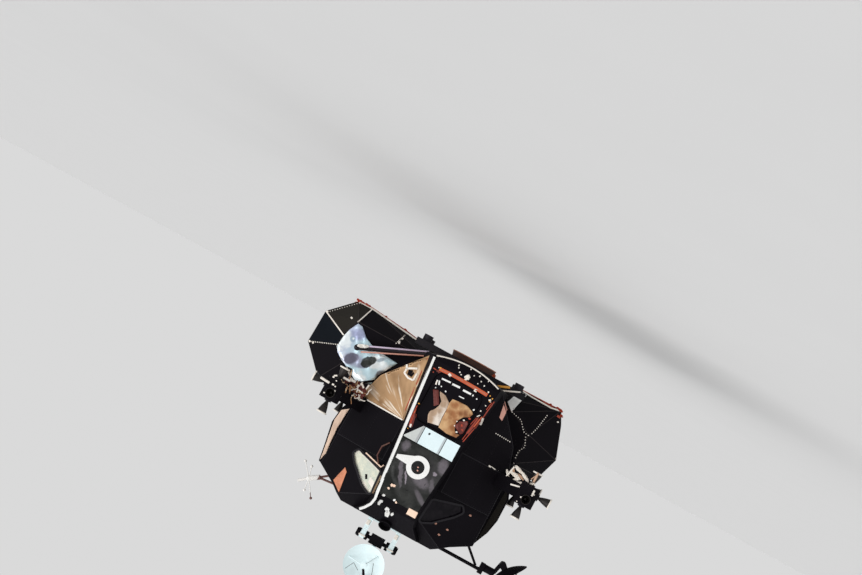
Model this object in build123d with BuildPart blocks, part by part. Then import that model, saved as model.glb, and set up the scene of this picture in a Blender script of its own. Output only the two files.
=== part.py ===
from build123d import *
import os
from math import cos, radians, sin

os.makedirs("parts", exist_ok=True)

# Ascent stage of a lunar module. The origin is the centre of the plane through the
# four fittings that held it to the lower stage. +Z points to the docking port,
# -Y is the front (the side with the hatch and windows), +X is the crew's left.
# The craft was drawn in inches, so sizes are a count of IN, in millimetres, and the
# tables of corners below are in inches.
IN = 25.4

# Crew cabin: a hollow shell with slanted cheeks, two recessed windows and a sloped forehead
CABIN_FRONT = -66 * IN
CABIN_BACK = -27 * IN
CABIN_WALL = 3 * IN
DECK_Z = 114.5 * IN
FLOOR_Z = 16 * IN
CHEEK_START = 20 * IN
CHEEK_SLOPE = 32
FOREHEAD_START = 101 * IN
FOREHEAD_SLOPE = 38
LEDGE_Z = 80 * IN
SKIRT_TOP = 53.5 * IN
# right half of the cabin seen from the front: x, z
CABIN_HALF = [(0, 114.5), (31, 114.5), (40, 108), (53, 101), (52, 54), (46, 36), (24, 10), (0, 8.5)]

# Window facets: three points of the plane (x, y, z) and the opening's corners (x, z)
FACET = [(15, -66.5, 105), (17, -65, 86), (38, -51, 88)]
WINDOW = [(16.8, 102), (23.8, 99), (34.2, 89.9), (37.8, 85.4), (35.8, 82.3), (18.2, 86.8)]
WINDOW_CORNER = 1.2 * IN
PANE = 0.5 * IN
PANE_DEPTH = 0.8 * IN
FRAME_WIDE = 1.2 * IN
FRAME_PROUD = 0.4 * IN
SHADE_GAP = 0.4 * IN
SHADE_THICK = 0.2 * IN
TOP_WINDOW = (20 * IN, -35 * IN)
TOP_WINDOW_SIZE = (5 * IN, 12 * IN)

# Nose: the strip that stands proud of the cabin front and holds the hatch
NOSE_FRONT = -75 * IN
# right half of its face, down to the rounded chin: x, z. The side walls flare backwards
NOSE_HALF = [(0, 116), (18, 116), (13.2, 107), (15, 86), (18.5, 50), (22.6, 9.8)]
CHIN_Z = 5.5 * IN
NOSE_FLARE = 6 * IN
NOSE_BACK = -48 * IN
# seen from the side: y, z
NOSE_SIDE = [(-48.8, 114.2), (-55, 114.2), (-70.5, 103), (-75, 90), (-75, 12), (-71, 4), (-50, 4)]
NOSE_DISC = (1 * IN, 78 * IN)
NOSE_DISC_R = 11.5 * IN
NOSE_DISC_PROUD = 0.8 * IN
NOSE_DISC_BEVEL = 0.6 * IN

# Front hatch
HATCH = 32 * IN
HATCH_Z = 33 * IN
HATCH_CORNER = 5 * IN
PASSAGE = 33 * IN
HATCH_THICK = 1.6 * IN
HATCH_GAP = 0.3 * IN
HATCH_INSET = 1.2 * IN
HATCH_PAN = 1 * IN
HATCH_PAN_INSET = 4 * IN
HINGE_R = 0.5 * IN
HINGE_LONG = 4 * IN
HINGE_SPREAD = 9 * IN

# Midsection outline from the front; the tanks hang at its two lower sides: x, z
MID_OUTLINE = [
    (-20, 8.5), (27, 8.5), (27, 57.5), (55.5, 57.5), (58.9, 66.5), (60, 76), (57.2, 91),
    (55.6, 101), (41.7, 107.4), (33, 114.5), (-33, 114.5), (-41, 109.2), (-52.3, 102.8),
    (-57.7, 90.2), (-59.6, 81), (-59.5, 66), (-56, 57.5), (-20, 57.5),
]
MID_BACK = 33 * IN

# Docking tunnel and its funnel-shaped drogue
RING_TOP = 116.5 * IN
TUNNEL_R = 16 * IN
RING_R = 18.5 * IN
RING_FOOT = 110 * IN
RING_BEVEL = 0.8 * IN
DROGUE_RIM_Z = 109.5 * IN
DROGUE_DEPTH = 15 * IN
DROGUE_HOLE_R = 2.2 * IN
DROGUE_WALL = 0.6 * IN
TUNNEL_FLOOR = 90 * IN
TUNNEL_WALL = 2 * IN
TARGET = (25 * IN, 10 * IN)
TARGET_R = 4.5 * IN

# Ascent engine
NOZZLE_EXIT_R = 15.5 * IN
NOZZLE_EXIT_Z = -0.5 * IN
NOZZLE_WAIST = (11.6 * IN, 13 * IN)
NOZZLE_THROAT_R = 3 * IN
NOZZLE_TOP_Z = 30 * IN
NOZZLE_WALL = 0.35 * IN
NOZZLE_CLEAR = 2 * IN
ENGINE_R = 6 * IN
ENGINE_TOP_Z = 47 * IN

# Aft equipment bay and the neck in front of it. Plan: x, y. Side: y, z
BAY_PLAN = [(-50, 50), (50, 50), (50, 74), (40, 84), (-40, 84), (-50, 74)]
BAY_SIDE = [(50, 12), (56, 6), (80, 6), (84, 12), (84, 92), (76, 101), (50, 101)]
NECK_SIDE = [(33, 14), (50, 18), (50, 96), (33, 106)]
NECK_HALF = 44 * IN
BAY_BACK = 84 * IN
BAY_PANEL_PROUD = 0.7 * IN
BAY_PANEL_GAP = 1 * IN

# Tank pods, as corners of rings round the pod. The front ring is at the flat front face
# and the side ring is where the pod is widest; both are mirrored to the back: x, z
FUEL_FRONT = [(27, 13.7), (75.5, 13.7), (79.3, 25.3), (79.9, 32.3), (71.6, 40.5), (27, 50)]
FUEL_SIDE = [
    (27, 7.2), (46, 4.2), (72.5, 1.6), (82.3, 1.6), (98, 17.2), (98.8, 39.3), (82.2, 56.6),
    (27, 57),
]
OXIDIZER_FRONT = [(-20, 14), (-36, 17), (-51.4, 24.8), (-51.2, 45), (-20, 50)]
OXIDIZER_SIDE = [
    (-20, 7.2), (-35.1, 2), (-62.9, 1.6), (-67.2, 10), (-74.6, 30.6), (-70, 45), (-60, 57),
    (-20, 57),
]
POD_FRONT = 30 * IN
POD_SIDE = 13 * IN

# Thruster quads and their outriggers
QUAD_XY = 66 * IN
QUAD_Z = 57.5 * IN
QUAD_HALF = 6 * IN
QUAD_HALF_HEIGHT = 6.5 * IN
QUAD_CHAMFER = 2 * IN
BELL_EXIT_R = 2.9 * IN
BELL_THROAT_R = 0.9 * IN
BELL_LENGTH = 8.5 * IN
BELL_WALL = 0.2 * IN
BELL_BASE_R = 1.7 * IN
BELL_BASE = 0.8 * IN
BELL_THROAT_Z = 1.4 * IN
SIDE_BELL_DROP = 2 * IN
OUTRIGGER_ROOT = 10 * IN
OUTRIGGER_TIP = 8 * IN
ROOT_X = 46 * IN
FRONT_ROOT_Y = -42 * IN
AFT_ROOT_Y = 64 * IN
STAY_R = 0.8 * IN
STAY_SPREAD = 18 * IN
STAY_INSET = 3 * IN
STAY_DROP = 5 * IN

# Interstage fittings
FITTING_XY = 32 * IN
FITTING_R = 3 * IN
FITTING_HEIGHT = 4 * IN
FITTING_BOLT_R = 10.5
FITTING_ACCESS_R = 21
BEAM_TOP = 8.2 * IN
BEAM_LONG = 76 * IN
BEAM_Y = 34 * IN
BEAM_WIDE = 8 * IN
SHIELD_BOTTOM = 6.5 * IN

# Rendezvous radar
RADAR_Y = -40 * IN
RADAR_SHAFT_Z = 126.5 * IN
RADAR_DISH_Z = 142.3 * IN
RADAR_DISH_R = 12.7 * IN
RADAR_LEG_X = 9.7 * IN
RADAR_FACE_Y = RADAR_Y - 3.5 * IN
DISH_DEPTH = 4 * IN
DISH_WALL = 0.5 * IN
FEED_HEIGHT = 9 * IN
FEED_CAP_R = 2 * IN
FEED_LEG_R = 0.35 * IN
RADAR_FIRST_LEG = 118.5
STEER_FIRST_LEG = 90

# Steerable antenna
BOOM_Y = -22 * IN
BOOM_Z = 112.8 * IN
BOOM_R = 1.1 * IN
HUB_X = -70 * IN
HUB_Z = 110.5 * IN
HUB_R = 2.4 * IN
ARM_R = 1.3 * IN
YAW_PIVOT = (-75 * IN, -39 * IN, 102.5 * IN)
STEER_DISH_R = 13 * IN
STEER_DISH_REACH = 3 * IN
STEER_TILT = 53

# Mast antenna at the crew's left shoulder. Feet of its struts, its line from the struts
# over the cross to the tip, and the rod tips: x, z
MAST_Y = -24 * IN
MAST_FEET = [(34, 109), (42, 104)]
MAST_HEAD = (51, 110.7)
MAST_CROSS = (56, 114)
MAST_TIP = (61.5, 118.5)
MAST_RODS = [(49, 124.3), (55, 121.8), (63, 105.6), (57.9, 106.7)]
MAST_STRUT_R = 0.7 * IN
MAST_BODY_R = 1.6 * IN
MAST_TIP_R = 0.9 * IN
MAST_ROD_R = 0.25 * IN

# Tracking light on the nose
LIGHT = (-1 * IN, 73.5 * IN)
LIGHT_R = 7 * IN
LENS_R = 4 * IN
LIGHT_PROUD = 2 * IN
LENS_PROUD = 1.4 * IN
# flag beside the light: x, z
LIGHT_FLAG = [(-0.6, 66.6), (13.5, 72.2), (13.5, 74.4), (5, 75)]

# Pale panels between the light and the hatch: x_left, x_right, and the corner that is cut
# off the last one: x, z
NOSE_PANELS = [(-17, -8.2), (-7.8, 6.3), (6.7, 15.5)]
NOSE_PANEL_Z = (50.2 * IN, 61 * IN)
NOSE_PANEL_PROUD = 0.5 * IN
NOSE_PANEL_CUT = [(7, 49.2), (18, 49.2), (18, 60.2), (15.5, 60.2)]


def inches(points):
    """Scale a table of points given in inches to millimetres."""
    return [tuple(value * IN for value in point) for point in points]


def mirrored(half):
    """Full outline in millimetres from its right half, listed from the top down."""
    return inches(half + [(-x, z) for x, z in reversed(half) if x > 0])


def prism(outline, y_front, y_back, inset=0.0):
    """Solid with a front-view outline, from y_front to y_back."""
    with BuildPart() as body:
        with BuildSketch(Plane.XZ.offset(-y_back)):
            with BuildLine():
                Polyline(outline, close=True)
            make_face()
            if inset:
                offset(amount=-inset, kind=Kind.INTERSECTION, mode=Mode.REPLACE)
        extrude(amount=y_back - y_front)
    return body.part


def side_prism(outline, x_low, x_high):
    """Solid with a side-view outline of y and z, from x_low to x_high."""
    with BuildPart() as body:
        with BuildSketch(Plane.YZ.offset(x_low)):
            with BuildLine():
                Polyline(outline, close=True)
            make_face()
        extrude(amount=x_high - x_low)
    return body.part


def plan_prism(outline, z_low, z_high):
    """Solid with a plan outline of x and y, from z_low to z_high."""
    with BuildPart() as body:
        with BuildSketch(Plane.XY.offset(z_low)):
            with BuildLine():
                Polyline(outline, close=True)
            make_face()
        extrude(amount=z_high - z_low)
    return body.part


def block(low, high):
    """Box between two opposite corners."""
    size = [b - a for a, b in zip(low, high)]
    middle = [(a + b) / 2 for a, b in zip(low, high)]
    return Pos(*middle) * Box(*size, mode=Mode.PRIVATE)


def tube(start, end, radius):
    """Round bar between two points."""
    axis = Vector(end) - Vector(start)
    with BuildPart() as bar:
        with BuildSketch(Plane(origin=start, z_dir=axis)):
            Circle(radius)
        extrude(amount=axis.length)
    return bar.part


def beam(start, start_size, end, end_size):
    """Square beam that tapers between two points."""
    axis = Vector(end) - Vector(start)
    side = axis.cross(Vector(0, 0, 1))
    with BuildPart() as bar:
        for point, size in ((start, start_size), (end, end_size)):
            with BuildSketch(Plane(origin=point, x_dir=side, z_dir=axis)):
                Rectangle(size, size)
        loft()
    return bar.part


# Forms shared by several pieces of the cabin
def facet_plane(side):
    """Plane of a window facet, its normal pointing out of the cabin."""
    top, low, outer = [Vector(side * x, y, z) * IN for x, y, z in FACET]
    normal = (low - top).cross(outer - top) * side
    return Plane(origin=top, z_dir=normal)


def window_recess(side, inset):
    """What is cut away in front of a window facet, above the ledge."""
    reach = 60 * IN
    with BuildPart() as recess:
        low = (min(0, side * reach), CABIN_FRONT - reach, LEDGE_Z - inset)
        high = (max(0, side * reach), CABIN_BACK, LEDGE_Z + reach)
        add(block(low, high))
        split(bisect_by=facet_plane(side).offset(-inset), keep=Keep.TOP)
    return recess.part


def cabin_form(inset):
    """The cabin's outer form, with every face moved in by inset."""
    with BuildPart() as form:
        add(prism(mirrored(CABIN_HALF), CABIN_FRONT + inset, CABIN_BACK, inset))
        for side in (-1, 1):
            cheek = Plane(
                origin=(side * CHEEK_START, CABIN_FRONT, 0),
                z_dir=(side * sin(radians(CHEEK_SLOPE)), -cos(radians(CHEEK_SLOPE)), 0),
            )
            split(bisect_by=cheek.offset(-inset), keep=Keep.BOTTOM)
        forehead = Plane(
            origin=(0, CABIN_FRONT, FOREHEAD_START),
            z_dir=(0, -sin(radians(FOREHEAD_SLOPE)), cos(radians(FOREHEAD_SLOPE))),
        )
        split(bisect_by=forehead.offset(-inset), keep=Keep.BOTTOM)
        for side in (-1, 1):
            add(window_recess(side, inset), mode=Mode.SUBTRACT)
    return form.part


def window_prism(side, grow=0.0):
    """Prism along Y over a window opening with rounded corners, its outline moved out by grow."""
    outline = [(side * x, z) for x, z in inches(WINDOW)]
    with BuildPart() as hole:
        with BuildSketch(Plane.XZ.offset(-CABIN_BACK)) as face:
            with BuildLine():
                Polyline(outline, close=True)
            make_face()
            fillet(face.vertices(), WINDOW_CORNER)
            if grow:
                offset(amount=grow, mode=Mode.REPLACE)
        extrude(amount=CABIN_BACK - NOSE_FRONT)
    return hole.part


def window_layer(side, outer, inner, grow=0.0):
    """Slab over a window between two distances from its facet, outwards positive."""
    with BuildPart() as layer:
        add(window_prism(side, grow))
        split(bisect_by=facet_plane(side).offset(outer), keep=Keep.BOTTOM)
        split(bisect_by=facet_plane(side).offset(inner), keep=Keep.TOP)
    return layer.part


def hatch_outline(y, shrink, depth):
    """Rounded square of the hatch, from y backwards by depth."""
    with BuildPart() as square:
        with BuildSketch(Plane.XZ.offset(-y - depth)):
            with Locations((0, HATCH_Z)):
                RectangleRounded(HATCH - 2 * shrink, HATCH - 2 * shrink, HATCH_CORNER - shrink)
        extrude(amount=depth)
    return square.part


outer_form = cabin_form(0)
inner_form = cabin_form(CABIN_WALL)
# the hatch's rounded seat, and a square passage behind it that the hatch swings into
hatch_back = NOSE_FRONT + HATCH_INSET + HATCH_THICK
passage_back = CABIN_FRONT + CABIN_WALL + IN
with BuildPart() as doorway:
    add(hatch_outline(NOSE_FRONT - IN, 0, hatch_back - NOSE_FRONT + IN))
    with Locations((0, (hatch_back + passage_back) / 2, HATCH_Z)):
        Box(PASSAGE, passage_back - hatch_back, PASSAGE)
top_x, top_y = TOP_WINDOW
top_wide, top_long = TOP_WINDOW_SIZE
top_hole = block(
    (top_x - top_wide / 2, top_y - top_long / 2, DECK_Z - 2 * CABIN_WALL),
    (top_x + top_wide / 2, top_y + top_long / 2, DECK_Z + IN),
)
with BuildPart() as shell:
    add(outer_form)
    add(inner_form, mode=Mode.SUBTRACT)
    add(doorway.part, mode=Mode.SUBTRACT)
    add(top_hole, mode=Mode.SUBTRACT)
    for side in (-1, 1):
        add(window_prism(side), mode=Mode.SUBTRACT)

# Cabin panels, cut from the shell where the real ones meet. Table: name, low and high x in
# inches, low and high z; the front wall comes out of the lower ones
front_wall_block = block(
    (-CHEEK_START, CABIN_FRONT - IN, 0), (CHEEK_START, CABIN_FRONT + CABIN_WALL, LEDGE_Z),
)
PANELS = (
    ("cabin_roof", -60, 60, LEDGE_Z, DECK_Z + IN),
    ("cabin_cheek_left", 0, 60, SKIRT_TOP, LEDGE_Z),
    ("cabin_cheek_right", -60, 0, SKIRT_TOP, LEDGE_Z),
    ("cabin_skirt_left", 0, 60, 0, SKIRT_TOP),
    ("cabin_skirt_right", -60, 0, 0, SKIRT_TOP),
)
for name, x_low, x_high, z_low, z_high in PANELS:
    low = (x_low * IN, CABIN_FRONT - IN, z_low)
    high = (x_high * IN, CABIN_BACK + IN, z_high)
    with BuildPart() as panel:
        add(shell.part)
        add(block(low, high), mode=Mode.INTERSECT)
        add(front_wall_block, mode=Mode.SUBTRACT)
    panel.part.label = name
    export_step(panel.part, f"parts/{name}.step")

with BuildPart() as cabin_front_wall:
    add(shell.part)
    add(front_wall_block, mode=Mode.INTERSECT)
cabin_front_wall.part.label = "cabin_front_wall"
export_step(cabin_front_wall.part, "parts/cabin_front_wall.step")

# Windows: panes in the wall and a pulled shade behind the left one
for name, side in (("window_left", 1), ("window_right", -1)):
    with BuildPart() as pane:
        add(window_layer(side, -PANE_DEPTH, -PANE_DEPTH - PANE))
    pane.part.label = name
    export_step(pane.part, f"parts/{name}.step")

shade_front = -PANE_DEPTH - PANE - SHADE_GAP
with BuildPart() as window_shade:
    add(window_layer(1, shade_front, shade_front - SHADE_THICK))
window_shade.part.label = "window_shade"
export_step(window_shade.part, "parts/window_shade.step")

with BuildPart() as window_top:
    with Locations((top_x, top_y, DECK_Z - PANE_DEPTH)):
        Box(top_wide, top_long, PANE)
window_top.part.label = "window_top"
export_step(window_top.part, "parts/window_top.step")

# Cabin floor, up to the hatch sill
with BuildPart() as cabin_floor:
    add(inner_form)
    split(bisect_by=Plane.XY.offset(FLOOR_Z), keep=Keep.BOTTOM)
cabin_floor.part.label = "cabin_floor"
export_step(cabin_floor.part, "parts/cabin_floor.step")

# Instrument panel between the windows: side profile of y and z
PANEL_SIDE = [(-62.5, 92), (-58, 92), (-54, 66), (-58, 60), (-62.5, 60)]
PANEL_HALF = 15 * IN
with BuildPart() as instrument_panel:
    add(side_prism(inches(PANEL_SIDE), -PANEL_HALF, PANEL_HALF))
instrument_panel.part.label = "instrument_panel"
export_step(instrument_panel.part, "parts/instrument_panel.step")

# Nose, with a rounded chin, a raised disc under the light and the doorway through it
with BuildPart() as nose:
    for y, flare in ((NOSE_FRONT, 0), (NOSE_BACK, NOSE_FLARE)):
        side_line = [(x + flare, z) for x, z in inches(NOSE_HALF[1:])]
        chin_x, chin_z = side_line[-1]
        with BuildSketch(Plane.XZ.offset(-y)):
            with BuildLine():
                Polyline(side_line)
                ThreePointArc((chin_x, chin_z), (0, CHIN_Z), (-chin_x, chin_z))
                Polyline([(-x, z) for x, z in side_line])
                Line(side_line[0], (-side_line[0][0], side_line[0][1]))
            make_face()
    loft(ruled=True)
    add(side_prism(inches(NOSE_SIDE), -30 * IN, 30 * IN), mode=Mode.INTERSECT)
    add(outer_form, mode=Mode.SUBTRACT)
    add(doorway.part, mode=Mode.SUBTRACT)
    with BuildSketch(Plane.XZ.offset(-NOSE_FRONT)):
        with Locations(NOSE_DISC):
            Circle(NOSE_DISC_R)
    extrude(amount=NOSE_DISC_PROUD)
    rim = nose.edges().filter_by(GeomType.CIRCLE).sort_by(Axis.Y)[0]
    chamfer(rim, NOSE_DISC_BEVEL)
nose.part.label = "nose"
export_step(nose.part, "parts/nose.step")

# Frames round the windows; their inner ends meet the nose
with BuildPart() as window_frames:
    for side in (-1, 1):
        add(window_layer(side, FRAME_PROUD, 0, FRAME_WIDE))
        add(window_prism(side), mode=Mode.SUBTRACT)
    add(outer_form, mode=Mode.SUBTRACT)
    add(nose.part, mode=Mode.SUBTRACT)
window_frames.part.label = "window_frames"
export_step(window_frames.part, "parts/window_frames.step")

# Front hatch: plate with a stiffening pan and two hinge knuckles on the crew's right
hinge_x = -(HATCH / 2 - HATCH_GAP - HINGE_R)
hinge_y = hatch_back + HINGE_R
with BuildPart() as front_hatch:
    add(hatch_outline(hatch_back - HATCH_THICK, HATCH_GAP, HATCH_THICK))
    add(hatch_outline(hatch_back, HATCH_PAN_INSET, HATCH_PAN))
    for z in (HATCH_Z - HINGE_SPREAD, HATCH_Z + HINGE_SPREAD):
        with BuildSketch(Plane.XY.offset(z - HINGE_LONG / 2)):
            with Locations((hinge_x, hinge_y)):
                Circle(HINGE_R)
            with Locations((hinge_x, hinge_y - HINGE_R)):
                Rectangle(2 * HINGE_R, 2 * HINGE_R)
        extrude(amount=HINGE_LONG)
front_hatch.part.label = "front_hatch"
export_step(front_hatch.part, "parts/front_hatch.step")

# Midsection, with the docking tunnel, the engine well and a seat for the ring
well_r = NOZZLE_EXIT_R + NOZZLE_CLEAR
with BuildPart() as midsection:
    add(prism(inches(MID_OUTLINE), CABIN_BACK, MID_BACK))
    with BuildSketch(Plane.XY.offset(TUNNEL_FLOOR)):
        Circle(RING_R)
    extrude(amount=RING_TOP - TUNNEL_FLOOR, mode=Mode.SUBTRACT)
    with BuildSketch(Plane.XZ):
        with BuildLine():
            Polyline(
                (0, 0), (well_r, 0), (well_r, 12 * IN), (9 * IN, ENGINE_TOP_Z), (0, ENGINE_TOP_Z),
                close=True,
            )
        make_face()
    revolve(axis=Axis.Z, mode=Mode.SUBTRACT)
midsection.part.label = "midsection"
export_step(midsection.part, "parts/midsection.step")

# Docking ring: a collar with a bevelled lip, clear inside for the probe
with BuildPart() as docking_ring:
    with BuildSketch(Plane.XZ):
        with BuildLine():
            Polyline(
                (TUNNEL_R, RING_FOOT), (RING_R, RING_FOOT), (RING_R, RING_TOP - RING_BEVEL),
                (RING_R - RING_BEVEL, RING_TOP), (TUNNEL_R, RING_TOP), close=True,
            )
        make_face()
    revolve(axis=Axis.Z)
docking_ring.part.label = "docking_ring"
export_step(docking_ring.part, "parts/docking_ring.step")

# Tunnel wall below the ring
with BuildPart() as docking_tunnel:
    with BuildSketch(Plane.XY.offset(TUNNEL_FLOOR)):
        Circle(RING_R)
        Circle(RING_R - TUNNEL_WALL, mode=Mode.SUBTRACT)
    extrude(amount=RING_FOOT - TUNNEL_FLOOR)
docking_tunnel.part.label = "docking_tunnel"
export_step(docking_tunnel.part, "parts/docking_tunnel.step")

# Drogue: a funnel that narrows down into the tunnel, with a rolled rim
drogue_foot = DROGUE_RIM_Z - DROGUE_DEPTH
rim_r = RING_R - TUNNEL_WALL
with BuildPart() as drogue:
    with BuildSketch(Plane.XZ):
        with BuildLine():
            Polyline(
                (TUNNEL_R, DROGUE_RIM_Z), (rim_r, DROGUE_RIM_Z), (rim_r, DROGUE_RIM_Z - IN),
                (TUNNEL_R, DROGUE_RIM_Z - 1.4 * IN),
                (DROGUE_HOLE_R + DROGUE_WALL, drogue_foot), (DROGUE_HOLE_R, drogue_foot),
                close=True,
            )
        make_face()
    revolve(axis=Axis.Z)
drogue.part.label = "drogue"
export_step(drogue.part, "parts/drogue.step")

# Docking target on the deck: a disc with a standing cross
target_x, target_y = TARGET
with BuildPart() as docking_target:
    with Locations((target_x, target_y, DECK_Z + 0.15 * IN)):
        Cylinder(TARGET_R, 0.3 * IN)
    with Locations((target_x, target_y, DECK_Z + 0.9 * IN)):
        Cylinder(0.3 * IN, 1.6 * IN)
    with Locations((target_x, target_y, DECK_Z + 1.75 * IN)):
        Box(4 * IN, 0.6 * IN, 0.3 * IN)
        Box(0.6 * IN, 4 * IN, 0.3 * IN)
docking_target.part.label = "docking_target"
export_step(docking_target.part, "parts/docking_target.step")

# Sighting telescope's shade, which leans forward out of the forehead
telescope_axis = Plane(
    origin=(0, -56 * IN, 112 * IN), z_dir=(0, -sin(radians(45)), cos(radians(45)))
)
with BuildPart() as telescope_shade:
    with BuildSketch(telescope_axis.offset(-6 * IN)):
        Circle(3 * IN)
    with BuildSketch(telescope_axis.offset(4 * IN)):
        Circle(4 * IN)
    loft()
    with BuildSketch(telescope_axis.offset(4 * IN)):
        Circle(3.4 * IN)
    extrude(amount=-3 * IN, mode=Mode.SUBTRACT)
    add(outer_form, mode=Mode.SUBTRACT)
    add(nose.part, mode=Mode.SUBTRACT)
telescope_shade.part.label = "telescope_shade"
export_step(telescope_shade.part, "parts/telescope_shade.step")

# Ascent engine: the chamber is a plain block, its nozzle a curved bell
with BuildPart() as ascent_engine:
    with BuildSketch(Plane.XY.offset(NOZZLE_TOP_Z)):
        Circle(ENGINE_R)
    extrude(amount=ENGINE_TOP_Z - NOZZLE_TOP_Z)
ascent_engine.part.label = "ascent_engine"
export_step(ascent_engine.part, "parts/ascent_engine.step")

waist_r, waist_z = NOZZLE_WAIST
with BuildPart() as engine_nozzle:
    with BuildSketch(Plane.XZ):
        with BuildLine():
            bell_line = ThreePointArc(
                (NOZZLE_EXIT_R, NOZZLE_EXIT_Z), (waist_r, waist_z), (NOZZLE_THROAT_R, NOZZLE_TOP_Z)
            )
            skin_line = ThreePointArc(
                (NOZZLE_EXIT_R - NOZZLE_WALL, NOZZLE_EXIT_Z), (waist_r - NOZZLE_WALL, waist_z),
                (NOZZLE_THROAT_R - NOZZLE_WALL, NOZZLE_TOP_Z),
            )
            Line(bell_line @ 0, skin_line @ 0)
            Line(bell_line @ 1, skin_line @ 1)
        make_face()
    revolve(axis=Axis.Z)
engine_nozzle.part.label = "engine_nozzle"
export_step(engine_nozzle.part, "parts/engine_nozzle.step")

# Aft equipment bay, with chamfered edges, and the neck that joins it to the midsection
bay_side = inches(BAY_SIDE)
with BuildPart() as aft_equipment_bay:
    add(plan_prism(inches(BAY_PLAN), 0, DECK_Z))
    add(side_prism(bay_side, -60 * IN, 60 * IN), mode=Mode.INTERSECT)
aft_equipment_bay.part.label = "aft_equipment_bay"
export_step(aft_equipment_bay.part, "parts/aft_equipment_bay.step")

with BuildPart() as aft_neck:
    add(side_prism(inches(NECK_SIDE), -NECK_HALF, NECK_HALF))
aft_neck.part.label = "aft_neck"
export_step(aft_neck.part, "parts/aft_neck.step")

# Removable panels on the bay's rear face, three across and two up
panel_wide = 76 * IN / 3 - BAY_PANEL_GAP
panel_high = 76 * IN / 2 - BAY_PANEL_GAP
with BuildPart() as aft_panels:
    with BuildSketch(Plane.XZ.offset(-BAY_BACK - BAY_PANEL_PROUD)):
        with Locations((0, 52 * IN)):
            with GridLocations(76 * IN / 3, 76 * IN / 2, 3, 2):
                RectangleRounded(panel_wide, panel_high, 2 * IN)
    extrude(amount=BAY_PANEL_PROUD)
aft_panels.part.label = "aft_panels"
export_step(aft_panels.part, "parts/aft_panels.step")

# Tank pods. Table: name, front ring, side ring
PODS = (
    ("fuel_tank_pod", FUEL_FRONT, FUEL_SIDE),
    ("oxidizer_tank_pod", OXIDIZER_FRONT, OXIDIZER_SIDE),
)
for name, front_ring, side_ring in PODS:
    corners = []
    for way in (-1, 1):
        corners += [(x, way * POD_FRONT, z) for x, z in inches(front_ring)]
        corners += [(x, way * POD_SIDE, z) for x, z in inches(side_ring)]
    with BuildPart() as pod:
        ConvexPolyhedron(corners)
        add(outer_form, mode=Mode.SUBTRACT)
        add(midsection.part, mode=Mode.SUBTRACT)
    pod.part.label = name
    export_step(pod.part, f"parts/{name}.step")

# Base: a heat shield round the nozzle and two beams that carry the fittings
with BuildPart() as base_heat_shield:
    add(block((-19.5 * IN, -30 * IN, SHIELD_BOTTOM), (26.5 * IN, 30 * IN, BEAM_TOP)))
    with Locations((0, 0, (FITTING_HEIGHT + BEAM_TOP) / 2)):
        with GridLocations(0, 2 * BEAM_Y, 1, 2):
            Box(BEAM_LONG, BEAM_WIDE, BEAM_TOP - FITTING_HEIGHT)
    with BuildSketch(Plane.XY):
        Circle(well_r - 0.5 * IN)
        with GridLocations(2 * FITTING_XY, 2 * FITTING_XY, 2, 2):
            Circle(FITTING_ACCESS_R)
    extrude(amount=BEAM_TOP, mode=Mode.SUBTRACT)
    add(outer_form, mode=Mode.SUBTRACT)
base_heat_shield.part.label = "base_heat_shield"
export_step(base_heat_shield.part, "parts/base_heat_shield.step")

with BuildPart() as interstage_fittings:
    with BuildSketch(Plane.XY):
        with GridLocations(2 * FITTING_XY, 2 * FITTING_XY, 2, 2):
            Circle(FITTING_R)
            Circle(FITTING_BOLT_R, mode=Mode.SUBTRACT)
    extrude(amount=FITTING_HEIGHT)
interstage_fittings.part.label = "interstage_fittings"
export_step(interstage_fittings.part, "parts/interstage_fittings.step")

# Strut that crosses the front of the fuel tank pod
STRUT_R = 1.6 * IN
KNUCKLE_R = 2 * IN
strut_low = (27 * IN, -36 * IN, 10.5 * IN)
strut_high = (68 * IN, -34 * IN, 28 * IN)
with BuildPart() as tank_strut:
    add(tube(strut_low, strut_high, STRUT_R))
    with Locations(strut_high):
        Sphere(KNUCKLE_R)
    add(tube(strut_high, (68 * IN, -30 * IN, 28 * IN), STRUT_R))
    add(tube(strut_low, (27 * IN, -36 * IN, BEAM_TOP), STRUT_R))
    add(outer_form, mode=Mode.SUBTRACT)
tank_strut.part.label = "tank_strut"
export_step(tank_strut.part, "parts/tank_strut.step")

# Handrail on the cabin's left cheek, below the window
RAIL = [(21, -68.4, 83), (24, -66.5, 79), (24, -66.5, 73), (21, -68.4, 69)]
RAIL_R = 0.5 * IN
RAIL_FOOT = 7 * IN
rail = [Vector(*point) for point in inches(RAIL)]
with BuildPart() as handrail:
    for start, end in zip(rail, rail[1:]):
        add(tube(start, end, RAIL_R))
        with Locations(start, end):
            Sphere(RAIL_R)
    for point in (rail[0], rail[-1]):
        add(tube(point, point + Vector(0, RAIL_FOOT, 0), RAIL_R))
    add(outer_form, mode=Mode.SUBTRACT)
    add(nose.part, mode=Mode.SUBTRACT)
handrail.part.label = "handrail"
export_step(handrail.part, "parts/handrail.step")


# Thruster quads: a housing at each corner that carries four bells. Table: x side, y side
QUADS = ((1, -1), (-1, -1), (1, 1), (-1, 1))
quad_centres = [Vector(x * QUAD_XY, y * QUAD_XY, QUAD_Z) for x, y in QUADS]
with BuildPart() as thruster_housings:
    with Locations(*quad_centres):
        Box(2 * QUAD_HALF, 2 * QUAD_HALF, 2 * QUAD_HALF_HEIGHT)
    chamfer(thruster_housings.edges().filter_by(Axis.Z), QUAD_CHAMFER)
thruster_housings.part.label = "thruster_housings"
export_step(thruster_housings.part, "parts/thruster_housings.step")

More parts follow.
